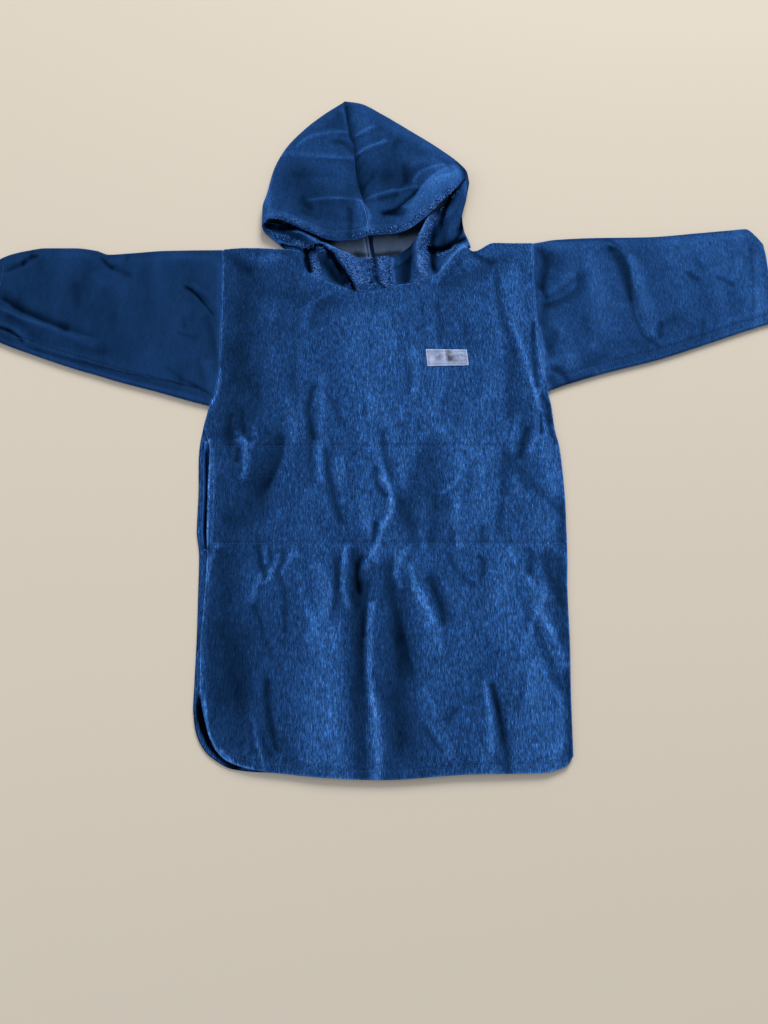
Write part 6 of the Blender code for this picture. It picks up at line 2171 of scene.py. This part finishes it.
right_parts = hood_parts(RIGHT_HALF)
left_parts = hood_parts(LEFT_HALF)
right_hood_cloth = hood_cloth(right_parts, RIGHT_HALF.mirrored)
left_hood_cloth = hood_cloth(left_parts, LEFT_HALF.mirrored)
hood_right = cloth_piece("hood_right_cloth", right_hood_cloth, hood_velour, terry)
hood_left = cloth_piece("hood_left_cloth", left_hood_cloth, hood_velour, terry)
add(hood_right, "hood_right")
add(hood_left, "hood_left")

on_front = tree_of(front_cloth)
label_upper = label_surface(on_front)
label_cloth = panel(label_upper, label_shade(label_upper[..., 0], label_upper[..., 1]), LABEL_WALL)
label = add(cloth_piece("label_cloth", label_cloth, label_weave), "label")


# Sewing: along the pocket, the hems, the label and the brim

# How far from its edge or seam each line runs
POCKET_LINE_INSET = 3.0
POCKET_MOUTH_LINE = 4.5
LABEL_LINE = 3.2
BRIM_LINE = 13.0
CUFF_LINE_INSET = 4.0
STRIP_LINE_INSET = 2.0

# Where the lines along the front's hem and its open side start and end: shares of the width, and Y
HEM_LINE_START = 0.03
HEM_LINE_END = 0.985
SIDE_LINE_LOW = -205.0
SIDE_LINE_HIGH = 108.0

# How many places each line is drawn through
POCKET_LINE_POINTS = 200
HEM_LINE_POINTS = 220
SIDE_LINE_POINTS = 200
CUFF_LINE_POINTS = 60
STRIP_LINE_POINTS = 120


def pocket_lines():
    """The two lines that hold the pocket bag."""
    lines = []
    for y in (POCKET_LOW, POCKET_HIGH):
        left = side("front_left", y) + POCKET_LINE_INSET
        right = side("right", y) - POCKET_LINE_INSET
        x = np.linspace(left, right, POCKET_LINE_POINTS)
        lines.append(places(x, np.full(len(x), y)))
    return lines


def front_hem_line():
    """The line along the front's hem."""
    share = np.linspace(HEM_LINE_START, HEM_LINE_END, HEM_LINE_POINTS)
    hem_x = between_sides("front_left", HEM_Y, share)
    level = HEM_LINE / (POCKET_LOW - by_x(FRONT_HEM, "y", hem_x))
    plan = front_plan(share, level)
    return places(plan.x, plan.y)


def front_side_line():
    """The line beside the front's open side, from the vent past the pocket's mouth."""
    y = np.linspace(SIDE_LINE_LOW, SIDE_LINE_HIGH, SIDE_LINE_POINTS)
    return places(side("front_left", y) + POCKET_MOUTH_LINE, y)


def label_line():
    """The line round the label."""
    inset = LABEL_LINE / (LABEL_RIGHT - LABEL_LEFT)
    rise = LABEL_LINE / (LABEL_HIGH - LABEL_LOW)
    s = np.array([inset, 1 - inset, 1 - inset, inset, inset])
    t = np.array([rise, rise, 1 - rise, 1 - rise, rise])
    return places(*label_plan(s, t))


def sleeve_lines(sleeve):
    """The hem line of a cuff, and the line along the lower edge."""
    rows = sleeve.rows
    inward = -np.sign(rows[-1].x)
    hem_x = rows[-1].x + inward * CUFF_HEM
    lower = by_x(rows, "lower", hem_x) + CUFF_LINE_INSET
    upper = by_x(rows, "upper", hem_x) - CUFF_LINE_INSET
    hem = places(np.full(CUFF_LINE_POINTS, hem_x), np.linspace(lower, upper, CUFF_LINE_POINTS))
    x = np.linspace(rows[1].x, rows[-1].x + inward * STRIP_LINE_INSET, STRIP_LINE_POINTS)
    return [hem, places(x, by_x(rows, "lower", x) + RIM + sleeve.strip)]


front_lines = pocket_lines() + [front_hem_line(), front_side_line()]
sew("front_stitches", front_lines, on_front, blue_thread, 41)
sew("label_stitches", [label_line()], tree_of(label_cloth), pale_thread, 42)
sew("sleeve_right_stitches", sleeve_lines(RIGHT_SLEEVE_KIND), tree_of(right_cloth), blue_thread, 43)
sew("sleeve_left_stitches", sleeve_lines(LEFT_SLEEVE_KIND), tree_of(left_cloth), blue_thread, 44)

on_right_hood = tree_of(right_hood_cloth)
on_left_hood = tree_of(left_hood_cloth)
right_brim = line_at(right_parts.top, distance_along(right_parts.top, 0), BRIM_LINE)
left_brim = line_at(left_parts.top, distance_along(left_parts.top, 0), BRIM_LINE)
sew("brim_right_stitches", [right_brim], on_right_hood, blue_thread, 45)
sew("brim_left_stitches", [left_brim], on_left_hood, blue_thread, 46)


# Seams: the cloth's edges, turned under and pressed together, fill the groove between two pieces

SEAM_FILL = 1.15
SEAM_SIDES = 8
SEAM_SINK = 0.9
SEAM_UNEVEN = 0.25
SEAM_BUMP = 5

# The top's rows beside the peak that the centre seam leaves out
PEAK_ROWS = 2


def seam_fill(name, line, sink, seed, radius, shade):
    """A rounded line of cloth along a seam, a little below the cloth on each side."""
    along = way_along(line)
    even = np.linspace(0, along[-1], count_of(along[-1], SEAM_STEP))
    centres = places(*[np.interp(even, along, line[:, k]) for k in range(3)])
    centres[:, 2] += SEAM_UNEVEN * noise_along(even, SEAM_BUMP, seed) - sink
    radii = np.full(len(even), radius)
    tube_piece(name, centres[None], radii, SEAM_SIDES, hood_velour, np.array([shade]))


hood_seam_line = right_parts.top[PEAK_ROWS:, -1] + np.array([SEAM_GAP / 2, 0, 0])
seam_fill("hood_seam", hood_seam_line, SEAM_SINK, 52, SEAM_FILL, LEVEL_SHADE)


# The hood's seam as it shows inside: its allowance, turned to one side, with pale overlock along its edge

ALLOWANCE_PLACE = 6.2
ALLOWANCE_HALF = 4.2
ALLOWANCE_SINK = 2.9
ALLOWANCE_STEP = 2.0
ALLOWANCE_BUMP = 9
ALLOWANCE_SHADE = 0.25
OVERLOCK_PLACE = 1.7
OVERLOCK_HALF = 1.4
OVERLOCK_STEP = 1.5
OVERLOCK_THREAD = 0.42
OVERLOCK_SHADE = 0.4
INSIDE_LOW = 347.0
INSIDE_HIGH = 416.0

on_hood_floor = tree_of(panel(left_parts.floor, np.zeros(left_parts.floor.shape[:2]), WALL))


def beside_seam(y, aside):
    """Places on the inside of the hood at a distance to the side of its centre seam."""
    centre = left_parts.floor[::-1, 0]
    return dropped(on_hood_floor, np.interp(y, centre[:, 1], centre[:, 0]) + aside, y)[0]


allowance_y = np.arange(INSIDE_LOW, INSIDE_HIGH, ALLOWANCE_STEP)
allowance_aside = ALLOWANCE_PLACE + noise_along(allowance_y, ALLOWANCE_BUMP, 71)
allowance_line = beside_seam(allowance_y, allowance_aside)
seam_fill("hood_allowance", allowance_line, ALLOWANCE_SINK, 53, ALLOWANCE_HALF, ALLOWANCE_SHADE)
overlock_y = np.arange(INSIDE_LOW, INSIDE_HIGH, OVERLOCK_STEP)
overlock_aside = OVERLOCK_PLACE + OVERLOCK_HALF * (-1.0) ** np.arange(len(overlock_y))
overlock_line = beside_seam(overlock_y, overlock_aside) + np.array([0, 0, OVERLOCK_THREAD])
overlock_radii = np.full(len(overlock_line), OVERLOCK_THREAD)
overlock_shade = np.array([OVERLOCK_SHADE])
tube_piece("hood_overlock", overlock_line[None], overlock_radii, THREAD_SIDES, pale_thread, overlock_shade)


# Terry loops

RIGHT_PILES = table(Pile, (
    (-139, 405, -111, 396, 4, 0.5),
    (-111, 393, -72, 376, 3, 0.35),
    (-36, 374, -18, 378, 5, 0.45),
    (-150, 387, -112, 374, 5, 0.5),
    (-112, 374, -84, 364, 4.5, 0.8),
    (-84, 364, -50, 345, 6, 0.75),
    (-44, 345, -36, 308, 11, 0.9),
    (-30, 338, -28, 310, 8, 0.8),
    (-18, 348, -18, 304, 2.5, 0.8),
    (-89, 352, -84, 326, 5.5, 0.9),
    (-122, 361, -110, 358, 3, 0.5),
))
LEFT_PILES = table(Pile, (
    (-12, 378, 34, 383, 5, 0.4),
    (34, 383, 76, 418, 3.5, 0.5),
    (76, 418, 101, 445, 3, 0.8),
    (-14, 348, -14, 304, 2.5, 0.8),
    (2, 350, 9, 310, 8, 1.0),
    (-12, 334, -12, 310, 6, 0.5),
    (69, 405, 57, 371, 5, 0.5),
    (57, 371, 52, 312, 9, 0.6),
    (80, 356, 98, 362, 6, 0.5),
))
grow_loops("terry_loops_right", RIGHT_PILES, right_hood_cloth, on_right_hood, loop_thread, 47)
grow_loops("terry_loops_left", LEFT_PILES, left_hood_cloth, on_left_hood, loop_thread, 48)

make_floor()
make_sky()
for lamp in LAMPS:
    make_light(lamp)
make_camera()
